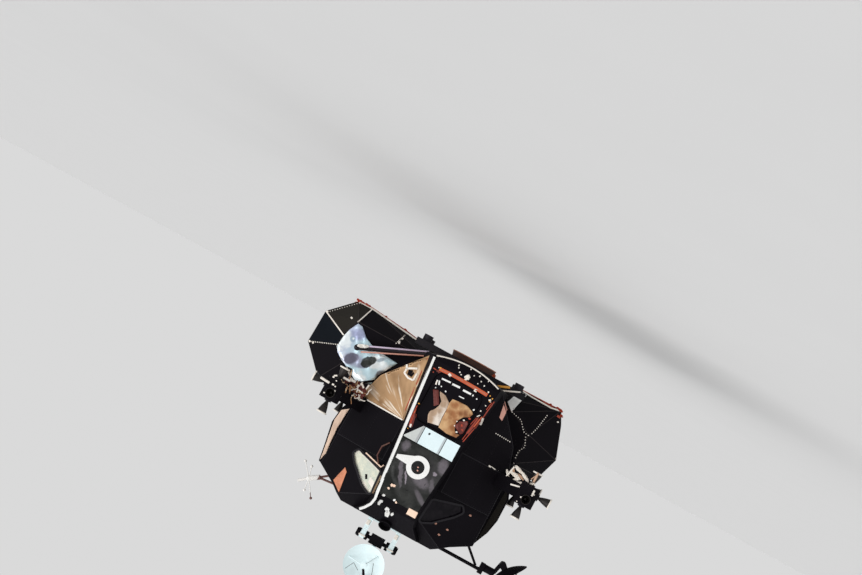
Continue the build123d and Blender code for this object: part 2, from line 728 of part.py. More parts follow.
# one thruster along +Z, its mounting face at the origin: a round base and a curved bell
waist = (0.68 * BELL_EXIT_R, 0.52 * BELL_LENGTH)
with BuildPart() as thruster:
    with BuildSketch(Plane.XZ):
        with BuildLine():
            bell_side = ThreePointArc(
                (BELL_THROAT_R, BELL_THROAT_Z), waist, (BELL_EXIT_R, BELL_LENGTH)
            )
            bell_skin = ThreePointArc(
                (BELL_THROAT_R - BELL_WALL, BELL_THROAT_Z + BELL_WALL),
                (waist[0] - BELL_WALL, waist[1]), (BELL_EXIT_R - BELL_WALL, BELL_LENGTH),
            )
            Polyline(
                bell_side @ 0, (BELL_BASE_R, BELL_BASE), (BELL_BASE_R, 0), (0, 0),
                (0, BELL_THROAT_Z + BELL_WALL), bell_skin @ 0,
            )
            Line(bell_side @ 1, bell_skin @ 1)
        make_face()
    revolve(axis=Axis.Z)

with BuildPart() as thruster_bells:
    for (x_side, y_side), centre in zip(QUADS, quad_centres):
        # each bell: its place on the housing, and the way that it points
        bells = (
            ((0, 0, QUAD_HALF_HEIGHT), (0, 0, 1)),
            ((0, 0, -QUAD_HALF_HEIGHT), (0, 0, -1)),
            ((x_side * QUAD_HALF, 0, -SIDE_BELL_DROP), (x_side, 0, 0)),
            ((0, y_side * QUAD_HALF, SIDE_BELL_DROP), (0, y_side, 0)),
        )
        for place, way in bells:
            seat = Plane(origin=centre + Vector(*place), z_dir=way)
            add(seat.location * thruster.part)
thruster_bells.part.label = "thruster_bells"
export_step(thruster_bells.part, "parts/thruster_bells.step")

# Outriggers: a tapered beam to each quad and a stay below it. The front ones root in the
# cabin's sides, the aft ones in the bay
with BuildPart() as outriggers:
    for (x_side, y_side), tip in zip(QUADS, quad_centres):
        root = Vector(x_side * ROOT_X, FRONT_ROOT_Y if y_side < 0 else AFT_ROOT_Y, QUAD_Z)
        add(beam(root, OUTRIGGER_ROOT, tip, OUTRIGGER_TIP))
        low_tip = tip - Vector(x_side * STAY_INSET, y_side * STAY_INSET, STAY_DROP)
        add(tube(root - Vector(0, 0, STAY_SPREAD), low_tip, STAY_R))
    for body in (outer_form, aft_equipment_bay.part, midsection.part, thruster_housings.part):
        add(body, mode=Mode.SUBTRACT)
outriggers.part.label = "outriggers"
export_step(outriggers.part, "parts/outriggers.step")


def dish(radius, first_leg):
    """Shallow bowl opening along +Z, its vertex at the origin, with a feed on three legs."""
    with BuildPart() as bowl:
        with BuildSketch(Plane.XZ):
            with BuildLine():
                inner = ThreePointArc((0, 0), (radius / 2, DISH_DEPTH / 4), (radius, DISH_DEPTH))
                outer = ThreePointArc(
                    (0, -DISH_WALL), (radius / 2, DISH_DEPTH / 4 - DISH_WALL),
                    (radius, DISH_DEPTH - DISH_WALL),
                )
                Line(inner @ 0, outer @ 0)
                Line(inner @ 1, outer @ 1)
            make_face()
        revolve(axis=Axis.Z)
        for turn in (0, 120, 240):
            angle = radians(first_leg + turn)
            way = Vector(cos(angle), sin(angle), 0)
            foot = way * 0.8 * radius + Vector(0, 0, 0.58 * DISH_DEPTH)
            add(tube(foot, way * 0.6 * FEED_CAP_R + Vector(0, 0, FEED_HEIGHT), FEED_LEG_R))
        with Locations((0, 0, FEED_HEIGHT)):
            Cylinder(FEED_CAP_R, 0.8 * IN)
    return bowl.part


# Rendezvous radar: a fixed stand, a block that turns about X, and a dish on its post
RADAR_LEG = (3 * IN, 5 * IN)
RADAR_BEARING = (2.6 * IN, 7 * IN)
with BuildPart() as radar_stand:
    for side in (-1, 1):
        with Locations((side * RADAR_LEG_X, RADAR_Y, (DECK_Z + RADAR_SHAFT_Z) / 2)):
            Box(*RADAR_LEG, RADAR_SHAFT_Z - DECK_Z)
        with Locations((side * RADAR_LEG_X, RADAR_Y, RADAR_SHAFT_Z)):
            Cylinder(*RADAR_BEARING, rotation=(0, 90, 0))
        add(tube(
            (side * RADAR_LEG_X, RADAR_Y + 9 * IN, DECK_Z),
            (side * RADAR_LEG_X, RADAR_Y + IN, RADAR_SHAFT_Z - 2 * IN), 0.7 * IN,
        ))
    with Locations((0, RADAR_Y, DECK_Z + 0.75 * IN)):
        Box(22 * IN, 8 * IN, 1.5 * IN)
    add(block((-20 * IN, RADAR_Y, 100 * IN), (20 * IN, 0, DECK_Z)), mode=Mode.SUBTRACT)
radar_stand.part.label = "radar_stand"
export_step(radar_stand.part, "parts/radar_stand.step")

with BuildPart() as radar_block:
    with Locations((0, RADAR_Y, RADAR_SHAFT_Z)):
        Box(9 * IN, 7 * IN, 6 * IN)
        Cylinder(1.2 * IN, 12.3 * IN, rotation=(0, 90, 0))
    chamfer(radar_block.edges().filter_by(Axis.X).sort_by(Axis.Z)[-2:], 1.2 * IN)
radar_block.part.label = "radar_block"
export_step(radar_block.part, "parts/radar_block.step")

radar_face = Plane(origin=(0, RADAR_FACE_Y, RADAR_DISH_Z), x_dir=(1, 0, 0), z_dir=(0, -1, 0))
post_foot = RADAR_SHAFT_Z + 3.3 * IN
with BuildPart() as radar_dish:
    add(radar_face.location * dish(RADAR_DISH_R, RADAR_FIRST_LEG))
    add(tube((0, RADAR_Y, post_foot), (0, RADAR_Y, RADAR_DISH_Z + 2 * IN), 1.3 * IN))
    add(tube((0, RADAR_Y, RADAR_DISH_Z), (0, RADAR_FACE_Y - 0.3 * IN, RADAR_DISH_Z), 2 * IN))
radar_dish.part.label = "radar_dish"
export_step(radar_dish.part, "parts/radar_dish.step")

# Steerable antenna: a boom with a brace, an arm that turns about X, and its dish
with BuildPart() as steerable_boom:
    add(tube((-30 * IN, BOOM_Y, BOOM_Z), (-64 * IN, BOOM_Y, BOOM_Z), BOOM_R))
    add(tube((-61 * IN, BOOM_Y, BOOM_Z - IN), (-49 * IN, BOOM_Y, 101 * IN), 0.8 * IN))
    with Locations((HUB_X + 5 * IN, BOOM_Y, HUB_Z + IN)):
        Box(3 * IN, 6 * IN, 7 * IN)
    add(midsection.part, mode=Mode.SUBTRACT)
    add(outer_form, mode=Mode.SUBTRACT)
steerable_boom.part.label = "steerable_boom"
export_step(steerable_boom.part, "parts/steerable_boom.step")

pivot = Vector(*YAW_PIVOT)
elbow = Vector(pivot.X, BOOM_Y, pivot.Z)
with BuildPart() as steerable_arm:
    with Locations((HUB_X - 0.2 * IN, BOOM_Y, HUB_Z)):
        Cylinder(HUB_R, 7 * IN, rotation=(0, 90, 0))
    add(tube((HUB_X - 3 * IN, BOOM_Y, HUB_Z), elbow, ARM_R))
    add(tube(elbow, pivot + Vector(0, 5 * IN, 0), ARM_R))
    with Locations(elbow):
        Sphere(ARM_R)
steerable_arm.part.label = "steerable_arm"
export_step(steerable_arm.part, "parts/steerable_arm.step")

tilt = radians(STEER_TILT)
steer_way = Vector(-sin(tilt), 0, cos(tilt))
steer_face = Plane(origin=pivot + steer_way * STEER_DISH_REACH, z_dir=steer_way)
half_pivot = Vector(0, 4.7 * IN, 0)
with BuildPart() as steerable_dish:
    add(steer_face.location * dish(STEER_DISH_R, STEER_FIRST_LEG))
    add(tube(pivot + half_pivot, pivot - half_pivot, 2.2 * IN))
    add(tube(pivot, pivot + steer_way * (STEER_DISH_REACH - 0.2 * IN), 2 * IN))
steerable_dish.part.label = "steerable_dish"
export_step(steerable_dish.part, "parts/steerable_dish.step")

# Mast antenna: two struts, a thick body with a bent tip, and four thin rods with beads
head, cross, tip = [Vector(x * IN, MAST_Y, z * IN) for x, z in (MAST_HEAD, MAST_CROSS, MAST_TIP)]
with BuildPart() as mast_antenna:
    for x, z in MAST_FEET:
        add(tube((x * IN, MAST_Y, z * IN), head, MAST_STRUT_R))
    add(tube(head - (cross - head) * 0.2, cross, MAST_BODY_R))
    add(tube(cross, tip, MAST_TIP_R))
    for x, z in MAST_RODS:
        add(tube(cross, (x * IN, MAST_Y, z * IN), MAST_ROD_R))
        with Locations((x * IN, MAST_Y, z * IN)):
            Sphere(MAST_TIP_R)
    add(midsection.part, mode=Mode.SUBTRACT)
    add(outer_form, mode=Mode.SUBTRACT)
mast_antenna.part.label = "mast_antenna"
export_step(mast_antenna.part, "parts/mast_antenna.step")

# Tracking light: a ring with a flag beside it, and its dark lens
with BuildPart() as tracking_light:
    with BuildSketch(Plane.XZ.offset(-NOSE_FRONT)):
        with Locations(LIGHT):
            Circle(LIGHT_R)
        with BuildLine():
            Polyline(inches(LIGHT_FLAG), close=True)
        make_face()
        with Locations(LIGHT):
            Circle(LENS_R, mode=Mode.SUBTRACT)
    extrude(amount=LIGHT_PROUD)
    add(nose.part, mode=Mode.SUBTRACT)
tracking_light.part.label = "tracking_light"
export_step(tracking_light.part, "parts/tracking_light.step")

with BuildPart() as tracking_lens:
    with BuildSketch(Plane.XZ.offset(-NOSE_FRONT)):
        with Locations(LIGHT):
            Circle(LENS_R)
    extrude(amount=LENS_PROUD)
    add(nose.part, mode=Mode.SUBTRACT)
tracking_lens.part.label = "tracking_lens"
export_step(tracking_lens.part, "parts/tracking_lens.step")

# Pale panels on the nose; the last one has its lower corner cut off
panel_low, panel_top = NOSE_PANEL_Z
with BuildPart() as nose_panels:
    for x_left, x_right in NOSE_PANELS:
        low = (x_left * IN, NOSE_FRONT - NOSE_PANEL_PROUD, panel_low)
        add(block(low, (x_right * IN, NOSE_FRONT, panel_top)))
    add(prism(inches(NOSE_PANEL_CUT), NOSE_FRONT - IN, NOSE_FRONT), mode=Mode.SUBTRACT)
nose_panels.part.label = "nose_panels"
export_step(nose_panels.part, "parts/nose_panels.step")
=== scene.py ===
"""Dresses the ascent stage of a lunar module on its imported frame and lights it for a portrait."""

import logging
import math
from dataclasses import dataclass, field
from enum import Enum
from typing import Iterable, Sequence

import bmesh
import bpy
from mathutils import Matrix, Vector, noise
from mathutils.bvhtree import BVHTree


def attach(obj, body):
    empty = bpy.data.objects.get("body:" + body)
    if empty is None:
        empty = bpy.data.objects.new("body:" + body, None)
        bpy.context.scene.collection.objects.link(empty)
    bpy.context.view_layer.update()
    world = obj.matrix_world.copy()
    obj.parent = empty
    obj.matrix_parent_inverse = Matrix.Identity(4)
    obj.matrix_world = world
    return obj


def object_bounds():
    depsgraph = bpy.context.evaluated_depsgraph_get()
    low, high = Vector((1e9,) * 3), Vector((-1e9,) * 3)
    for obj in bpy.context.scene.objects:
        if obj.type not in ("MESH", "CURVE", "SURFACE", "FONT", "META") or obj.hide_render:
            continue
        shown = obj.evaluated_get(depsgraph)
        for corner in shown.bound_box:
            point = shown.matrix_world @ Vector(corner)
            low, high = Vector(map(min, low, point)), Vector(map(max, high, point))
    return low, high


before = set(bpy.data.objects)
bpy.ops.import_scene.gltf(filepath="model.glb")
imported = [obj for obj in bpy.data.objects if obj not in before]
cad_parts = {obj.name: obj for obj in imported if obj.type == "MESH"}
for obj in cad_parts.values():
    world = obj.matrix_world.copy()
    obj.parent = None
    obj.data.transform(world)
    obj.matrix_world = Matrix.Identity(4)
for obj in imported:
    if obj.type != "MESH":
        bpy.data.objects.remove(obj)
CAD_BOX = [list(corner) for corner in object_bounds()]

IN = 0.0254
# the photograph's eye in metres, and the plane in inches on which places in its view are given
EYE = (-0.2286, -28.829, 0.762)
FRONT_PLANE = -66.0
# in metres: where rays start, how far on the craft is, and the room left to the CAD model's box
STAND_OFF = 6.0
NEAR_CRAFT = 5.0
BEAD_ROOM = 0.0065
STAGE = "ascent_stage"
HATCH = "hatch"
# noise_vector gives other values in every run unless a seed is set
NOISE_SEED = 4
log = logging.getLogger("ascent_stage")

Pair = tuple[float, float]
Triple = tuple[float, float, float]
Place = Triple | Vector
Outline = Sequence[Pair]
Nodes = tuple[str, ...]


# ---------------------------------------------------------------- shader maths

class Term:
    """A shader socket that takes part in Python arithmetic."""

    def __init__(self, net: "Net", socket: bpy.types.NodeSocket) -> None:
        """Keep the socket and the net that it belongs to."""
        self.net, self.socket = net, socket

    def _math(self, operation: str, first: "Term | float", second: "Term | float") -> "Term":
        """Result of a Math node on two values."""
        return self.net.node("ShaderNodeMath", {"operation": operation}, {0: first, 1: second})

    def __add__(self, other: "Term | float") -> "Term":
        """Sum."""
        return self._math("ADD", self, other)

    __radd__ = __add__

    def __mul__(self, other: "Term | float") -> "Term":
        """Product."""
        return self._math("MULTIPLY", self, other)

    def __sub__(self, other: "Term | float") -> "Term":
        """Difference."""
        return self._math("SUBTRACT", self, other)

    def __rsub__(self, other: "Term | float") -> "Term":
        """Difference, the term taken away."""
        return self._math("SUBTRACT", other, self)

    def __truediv__(self, other: "Term | float") -> "Term":
        """Quotient."""
        return self._math("DIVIDE", self, other)

    def __gt__(self, other: "Term | float") -> "Term":
        """One where the term is larger, else nought."""
        return self._math("GREATER_THAN", self, other)

    def __pow__(self, other: "Term | float") -> "Term":
        """Power."""
        return self._math("POWER", self, other)

    def smooth(self, low: float, high: float) -> "Term":
        """Smooth step from nought at one value to one at another."""
        return self.net.node("ShaderNodeMapRange", {"interpolation_type": "SMOOTHSTEP"},
                             {"Value": self, "From Min": low, "From Max": high})


class Net:
    """The node tree of one material, built by calls."""

    def __init__(self, name: str) -> None:
        """Start a material with the object coordinates, in metres.

        Args:
            name: The material's name.
        """
        self.material = bpy.data.materials.new(name)
        self.material.use_nodes = True
        self.tree = self.material.node_tree
        self.tree.nodes.clear()
        self.place = self.node("ShaderNodeTexCoord", out="Object")

    def node(self, kind: str, settings: dict | None = None, values: dict | None = None,
             out: int | str = 0) -> Term:
        """Add a node.

        Args:
            kind: The node's type.
            settings: Its properties.
            values: Socket values or links, by name or number.
            out: Which output to give back.

        Returns:
            The chosen output, or the first input of a node without any.
        """
        made = self.tree.nodes.new(kind)
        for key, value in (settings or {}).items():
            setattr(made, key, value)
        for key, value in (values or {}).items():
            socket = made.inputs[key]
            if isinstance(value, Term):
                self.tree.links.new(value.socket, socket)
            elif isinstance(value, tuple) and len(value) == 3 and len(socket.default_value) == 4:
                socket.default_value = (*value, 1.0)
            else:
                socket.default_value = value
        return Term(self, made.outputs[out] if made.outputs else made.inputs[0])

    def axis(self, name: str) -> Term:
        """One of the object coordinates, in inches."""
        return self.node("ShaderNodeSeparateXYZ", None, {0: self.place}, out=name) / IN

    def oval(self, centre: Pair, half: Pair, turn: float, soft: float, drift: float = 5.0) -> Term:
        """How far inside an uneven oval seen from the front a place is.

        Args:
            centre: Its middle, X and Z in inches.
            half: Its half sizes, in inches.
            turn: Its turn, in degrees.
            soft: How soft its edge is, as a share of its size.
            drift: How far noise moves its edge, in inches.

        Returns:
            One inside, nought outside.
        """
        stir = (self.noise(11.0, 3.0, 0.6) - 0.5) * drift
        x, z = self.axis("X") + stir - centre[0], self.axis("Z") - stir * 0.6 - centre[1]
        cos, sin = math.cos(math.radians(turn)), math.sin(math.radians(turn))
        across, up = (x * cos + z * sin) / half[0], (z * cos - x * sin) / half[1]
        return (across * across + up * up).smooth(1.0 + soft, 1.0 - soft)

    def streaks(self, hub: Pair, count: float) -> Term:
        """Noise drawn out along lines that meet at a hub.

        Args:
            hub: Where the lines meet, X and Z in inches.
            count: Streaks per radian.

        Returns:
            The noise value.
        """
        x, z = self.axis("X") - hub[0], self.axis("Z") - hub[1]
        angle = self.node("ShaderNodeMath", {"operation": "ARCTAN2"}, {0: z, 1: x})
        far = (x * x + z * z) ** 0.5
        fan = self.node("ShaderNodeCombineXYZ", None, {0: angle * count, 1: far * 0.035})
        return self.noise(1.0, 2.0, 0.45, 0.5, fan)

    def stretched(self, scale: Triple, turn: Triple = (0.0, 0.0, 0.0)) -> Term:
        """Object coordinates scaled along their axes, and turned about them in radians."""
        return self.node("ShaderNodeMapping", None,
                         {"Vector": self.place, "Scale": scale, "Rotation": turn})

    def noise(self, scale: float, detail: float = 3.0, rough: float = 0.5, warp: float = 0.0,
              place: Term | None = None) -> Term:
        """Noise from nought to one.

        Args:
            scale: Features per metre.
            detail: Octaves.
            rough: How much the finer octaves count.
            warp: Distortion.
            place: Coordinates, the object's own unless given.

        Returns:
            The noise value.
        """
        return self.node("ShaderNodeTexNoise", None, {
            "Vector": place or self.place, "Scale": scale, "Detail": detail, "Roughness": rough,
            "Distortion": warp,
        })

    def creases(self, scale: float, warp: float = 0.6, place: Term | None = None) -> Term:
        """Height of flat facets that meet in sharp creases, as in film that was crumpled.

        Args:
            scale: Facets per metre.
            warp: How far noise bends the creases, in metres at a scale of one.
            place: Coordinates, the object's own unless given.

        Returns:
            The height.
        """
        place = place or self.place
        bend = self.node("ShaderNodeTexNoise", None,
                         {"Vector": place, "Scale": scale * 0.7, "Detail": 2.0}, out="Color")
        moved = self.node("ShaderNodeVectorMath", {"operation": "MULTIPLY_ADD"},
                          {0: bend, 1: (warp / scale,) * 3, 2: place})
        return self.node("ShaderNodeTexVoronoi", {"feature": "F1"},
                         {"Vector": moved, "Scale": scale})

    def mix(self, under: "Term | Triple", over: "Term | Triple", factor: Term) -> Term:
        """A colour laid over another by a factor."""
        # 6 and 7 are the Mix node's two colour inputs, and 2 is its colour output
        values = {0: factor, 6: under, 7: over}
        return self.node("ShaderNodeMix", {"data_type": "RGBA"}, values, out=2)

    def bump(self, height: Term, strength: float, distance: float) -> Term:
        """A normal bent by a height of which one is so many metres."""
        values = {"Height": height, "Strength": strength, "Distance": distance}
        return self.node("ShaderNodeBump", None, values)

    def close(self, **sockets: "Term | float | tuple") -> bpy.types.Material:
        """Finish with a Principled shader.

        Args:
            **sockets: Its sockets, with underscores for spaces.

        Returns:
            The material.
        """
        values = {key.replace("_", " "): value for key, value in sockets.items()}
        shader = self.node("ShaderNodeBsdfPrincipled", None, values)
        self.node("ShaderNodeOutputMaterial", None, {"Surface": shader})
        return self.material


def wire(tree: bpy.types.NodeTree, nodes: dict[str, tuple[str, dict, dict]],
         links: Iterable[tuple[str, int | str, str, int | str]]) -> None:
    """Add nodes to a tree and link them.

    Args:
        tree: The tree.
        nodes: Type, properties and input values of each node, by its label here.
        links: Label and output that each link leaves, and label and input that it reaches.
    """
    made = {}
    for label, (kind, settings, values) in nodes.items():
        made[label] = tree.nodes.new(kind)
        for key, value in settings.items():
            setattr(made[label], key, value)
        for key, value in values.items():
            made[label].inputs[key].default_value = value
    for start, out, end, into in links:
        tree.links.new(made[start].outputs[out], made[end].inputs[into])


# ---------------------------------------------------------------- finishes

@dataclass(frozen=True)
class Finish:
    """A named finish; its slot is the record's material slot."""

    name: str
    slot: str

    def build(self) -> bpy.types.Material:
        """Make the material."""
        raise NotImplementedError

    def material(self) -> bpy.types.Material:
        """The finish's material, made once."""
        return bpy.data.materials.get(self.name) or self.build()


@dataclass(frozen=True)
class ShieldPaint(Finish):
    """Painted sheet that bulges slightly between its fixings, with dust and scuffs."""

    dark: Triple = (0.0022, 0.0018, 0.0026)
    light: Triple = (0.0075, 0.006, 0.0085)
    scuff: Triple = (0.030, 0.025, 0.028)
    rough: float = 0.5
    bulge: float = 0.010
    metal: float = 0.0
    sheen: float = 0.05

    def build(self) -> bpy.types.Material:
        """Make the material.

        Returns:
            The material.
        """
        net = Net(self.name)
        cloud = net.noise(1.6, 4.0, 0.55)
        grain = net.noise(60.0, 2.0, 0.6)
        scratch = net.noise(9.0, 5.0, 0.7, 0.4, net.stretched((1.0, 1.0, 3.5), (0.3, 0.2, 0.5)))
        marks = scratch.smooth(0.66, 0.78) * 0.4
        height = net.noise(2.4, 2.0, 0.4) + grain * 0.012 + scratch * 0.05
        return net.close(
            Base_Color=net.mix(net.mix(self.dark, self.light, cloud), self.scuff, marks),
            Roughness=self.rough + cloud * 0.16 + grain * 0.05,
            Metallic=self.metal, Specular_IOR_Level=self.sheen,
            Normal=net.bump(height, 0.5, self.bulge),
        )


@dataclass(frozen=True)
class CrinkledFoil(Finish):
    """Thin metal-backed film, crumpled and pinned flat, with painted shade in its folds and painted
    highlights in pale patches.
    """

    dark: Triple
    mid: Triple
    light: Triple
    metal: float = 0.25
    rough: float = 0.38
    scale: float = 5.0
    depth: float = 0.02

    def build(self) -> bpy.types.Material:
        """Make the material.

        Returns:
            The material.
        """
        net = Net(self.name)
        slant = net.stretched((1.0, 1.0, 0.45), (0.2, 0.7, 0.1))
        big = net.creases(self.scale, 0.8, slant)
        fine = net.creases(self.scale * 3.4, 0.9)
        hair = net.creases(self.scale * 11.0, 1.0)
        tone = net.noise(self.scale * 0.55, 3.0, 0.6, 0.8, slant)
        # painted shade darkens the folds; pale patches laid over them are painted highlights
        painted_fold_shade = (big * 0.9 + fine * 0.35 + tone * 0.5).smooth(0.28, 1.0)
        body = net.mix(self.dark, self.mid, painted_fold_shade)
        height = big + fine * 0.30 + hair * 0.08
        return net.close(
            Base_Color=net.mix(body, self.light, (tone + fine * 0.25).smooth(0.58, 0.82)),
            Roughness=self.rough + hair * 0.10 + tone * 0.12,
            Metallic=self.metal, Normal=net.bump(height, 0.75, self.depth),
        )


@dataclass(frozen=True)
class SoftSheet(Finish):
    """Dark film that lies in broad soft waves, toned darker and paler with them as painted shade,
    with pale ovals of painted light: see Net.oval, then a share.
    """

    dark: Triple = (0.006, 0.007, 0.006)
    mid: Triple = (0.028, 0.029, 0.027)
    pale: Triple = (0.27, 0.235, 0.27)
    lit: tuple[tuple[Pair, Pair, float, float, float], ...] = ()

    def build(self) -> bpy.types.Material:
        """Make the material.

        Returns:
            The material.
        """
        net = Net(self.name)
        waves = net.noise(3.4, 2.0, 0.45, 0.9)
        fine = net.noise(24.0, 3.0, 0.55, 0.4)
        # darker and paler with the waves as painted shade; the pale ovals are painted light
        colour = net.mix(self.dark, self.mid, (waves * 0.85 + fine * 0.15).smooth(0.32, 0.66))
        for *form, share in self.lit:
            colour = net.mix(colour, self.pale, net.oval(*form) * (fine * 0.5 + 0.5) * share)
        return net.close(
            Base_Color=colour, Roughness=0.34 + fine * 0.14, Metallic=0.1, Specular_IOR_Level=0.2,
            Normal=net.bump(waves + fine * 0.08, 0.6, 0.03),
        )


@dataclass(frozen=True)
class StreakedFoil(Finish):
    """Tan film pulled tight to one corner, with painted highlights along the creases that run to it
    and painted shade in broad streaks.
    """

    hub: Pair
    dark: Triple = (0.25, 0.135, 0.055)
    mid: Triple = (0.46, 0.275, 0.135)
    light: Triple = (0.95, 0.88, 0.76)

    def build(self) -> bpy.types.Material:
        """Make the material.

        Returns:
            The material.
        """
        net = Net(self.name)
        broad = net.streaks(self.hub, 3.2)
        thin = net.streaks(self.hub, 6.5)
        cloud = net.noise(3.0, 3.0, 0.55, 0.5)
        fine = net.creases(16.0, 1.0)
        # broad streaks darken as painted shade; pale thin creases are painted highlights
        body = net.mix(self.dark, self.mid, (broad * 0.6 + cloud * 0.4).smooth(0.34, 0.58))
        crease = thin.smooth(0.56, 0.66) * cloud.smooth(0.42, 0.56)
        return net.close(
            Base_Color=net.mix(body, self.light, crease * 0.7), Roughness=0.42 + fine * 0.12,
            Metallic=0.25, Normal=net.bump(broad * 0.7 + thin * 0.5 + fine * 0.06, 0.5, 0.02),
        )


@dataclass(frozen=True)
class PodFoil(Finish):
    """Silver film in broad lobes with painted highlights, and ovals of painted shade, shadow and
    reflection: see Net.oval, then a colour.
    """

    blue: Triple = (0.60, 0.80, 0.88)
    lilac: Triple = (0.50, 0.54, 0.70)
    painted_lobe_highlight: Triple = (0.90, 0.96, 0.98)
    drift: float = 2.0
    painted_shades: tuple[tuple[Pair, Pair, float, float, Triple], ...] = ()

    def build(self) -> bpy.types.Material:
        """Make the material.

        Returns:
            The material.
        """
        net = Net(self.name)
        lobes = net.noise(2.2, 1.5, 0.4, 1.2)
        fine = net.noise(18.0, 3.0, 0.6, 0.8)
        colour = net.mix(self.lilac, self.blue, net.axis("X").smooth(80.0, 64.0))
        # painted highlights on the brightest lobes, then ovals of painted shade, shadow and
        # reflection
        colour = net.mix(colour, self.painted_lobe_highlight, (lobes * 0.9 + fine * 0.1).smooth(0.52, 0.60))
        for *form, shade in self.painted_shades:
            colour = net.mix(colour, shade, net.oval(*form, self.drift) * (fine * 0.2 + 0.85))
        return net.close(
            Base_Color=colour, Roughness=0.30 + fine * 0.10, Metallic=0.45,
            Normal=net.bump(lobes + fine * 0.06, 0.6, 0.04),
        )


@dataclass(frozen=True)
class PanelPaint(Finish):
    """White paint whose left panel is greyer, with painted shade beside its seams, by their X and
    softness.
    """

    split: float = 6.5
    seams: tuple[Pair, ...] = ((7.4, 1.0), (-7.4, 1.1))
    shade: Triple = (0.30, 0.31, 0.33)

    def build(self) -> bpy.types.Material:
        """Make the material.

        Returns:
            The material.
        """
        net = Net(self.name)
        cloud = net.noise(5.0, 4.0, 0.6, 0.3)
        spots = net.noise(34.0, 3.0, 0.6)
        across = net.axis("X")
        white = net.mix((0.70, 0.83, 0.87), (0.80, 0.93, 0.95), cloud)
        grey = net.mix((0.50, 0.53, 0.53), (0.64, 0.66, 0.62), cloud)
        colour = net.mix(white, grey, across > self.split)
        # painted shade beside each seam
        for seam, soft in self.seams:
            line = (1.0 - ((across - seam) ** 2) / soft).smooth(0.0, 1.0)
            colour = net.mix(colour, self.shade, line * 0.6)
        return net.close(Base_Color=colour, Roughness=0.42 + spots * 0.12,
                         Normal=net.bump(spots + cloud, 0.3, 0.0015))


@dataclass(frozen=True)
class MastPaint(Finish):
    """White mast whose braces near the craft are bare dark red."""

    split: float = 51.0

    def build(self) -> bpy.types.Material:
        """Make the material.

        Returns:
            The material.
        """
        net = Net(self.name)
        cloud = net.noise(9.0, 4.0, 0.6)
        fine = net.noise(60.0, 2.0, 0.5)
        white = net.mix((0.82, 0.78, 0.72), (0.90, 0.88, 0.86), cloud)
        red = net.mix((0.05, 0.02, 0.018), (0.22, 0.09, 0.07), cloud)
        return net.close(
            Base_Color=net.mix(red, white, net.axis("X") > self.split),
            Roughness=0.42 + fine * 0.15, Normal=net.bump(fine + cloud, 0.3, 0.001),
        )


@dataclass(frozen=True)
class Paint(Finish):
    """Coloured paint with dust in its hollows and worn spots."""

    colour: Triple
    dirt: Triple
    rough: float = 0.5
    metal: float = 0.0

    def build(self) -> bpy.types.Material:
        """Make the material.

        Returns:
            The material.
        """
        net = Net(self.name)
        cloud = net.noise(5.0, 5.0, 0.6)
        spots = net.noise(38.0, 3.0, 0.6, 0.3)
        stain = cloud.smooth(0.45, 0.8) * 0.35 + spots.smooth(0.62, 0.74) * 0.3
        return net.close(
            Base_Color=net.mix(self.colour, self.dirt, stain),
            Roughness=self.rough + spots * 0.15, Metallic=self.metal,
            Normal=net.bump(spots + cloud * 0.6, 0.35, 0.0015),
        )


@dataclass(frozen=True)
class Alloy(Finish):
    """Bare machined or rolled metal with a lay of fine lines."""

    colour: Triple
    shade: Triple
    rough: float = 0.34
    lay: Triple = (60.0, 60.0, 3.0)

    def build(self) -> bpy.types.Material:
        """Make the material.

        Returns:
            The material.
        """
        net = Net(self.name)
        lines = net.noise(1.0, 4.0, 0.6, 0.0, net.stretched(self.lay))
        cloud = net.noise(7.0, 4.0, 0.55)
        return net.close(
            Base_Color=net.mix(self.shade, self.colour, cloud * 0.6 + lines * 0.4),
            Roughness=self.rough + lines * 0.14 + cloud * 0.08, Metallic=0.9,
            Normal=net.bump(lines, 0.25, 0.0008),
        )


@dataclass(frozen=True)
class BurntLiner(Finish):
    """Wound liner of the engine bell, baked darker towards its lip."""

    cool: Triple = (0.055, 0.024, 0.017)
    warm: Triple = (0.125, 0.050, 0.034)
    burnt: Triple = (0.055, 0.028, 0.021)

    def build(self) -> bpy.types.Material:
        """Make the material.

        Returns:
            The material.
        """
        net = Net(self.name)
        turns = net.node("ShaderNodeTexWave", {"wave_type": "BANDS", "bands_direction": "Z"}, {
            "Vector": net.place, "Scale": 26.0, "Distortion": 1.2, "Detail": 2.0})
        cloud = net.noise(6.0, 5.0, 0.6)
        heat = net.axis("Z").smooth(0.25 / IN, -0.01 / IN)
        body = net.mix(self.cool, self.warm, cloud)
        return net.close(
            Base_Color=net.mix(body, self.burnt, heat * 0.6), Roughness=0.55 + turns * 0.2,
            Normal=net.bump(turns + cloud * 0.5, 0.4, 0.003),
        )


@dataclass(frozen=True)
class Pane(Finish):
    """Coated glass."""

    colour: Triple = (0.80, 0.86, 0.88)
    other: Triple = (0.70, 0.78, 0.80)
    clear: float = 1.0
    rough: float = 0.03
    gloss: float = 0.5

    def build(self) -> bpy.types.Material:
        """Make the material.

        Returns:
            The material.
        """
        net = Net(self.name)
        film = net.noise(3.0, 2.0, 0.5)
        haze = net.noise(9.0, 4.0, 0.6, 0.6)
        tone = (haze * 0.7 + film * 0.3).smooth(0.38, 0.62)
        return net.close(
            Base_Color=net.mix(self.other, self.colour, tone), Roughness=self.rough + haze * 0.06,
            Transmission_Weight=self.clear, IOR=1.45, Specular_IOR_Level=self.gloss,
            Normal=net.bump(film, 0.1, 0.002),
        )


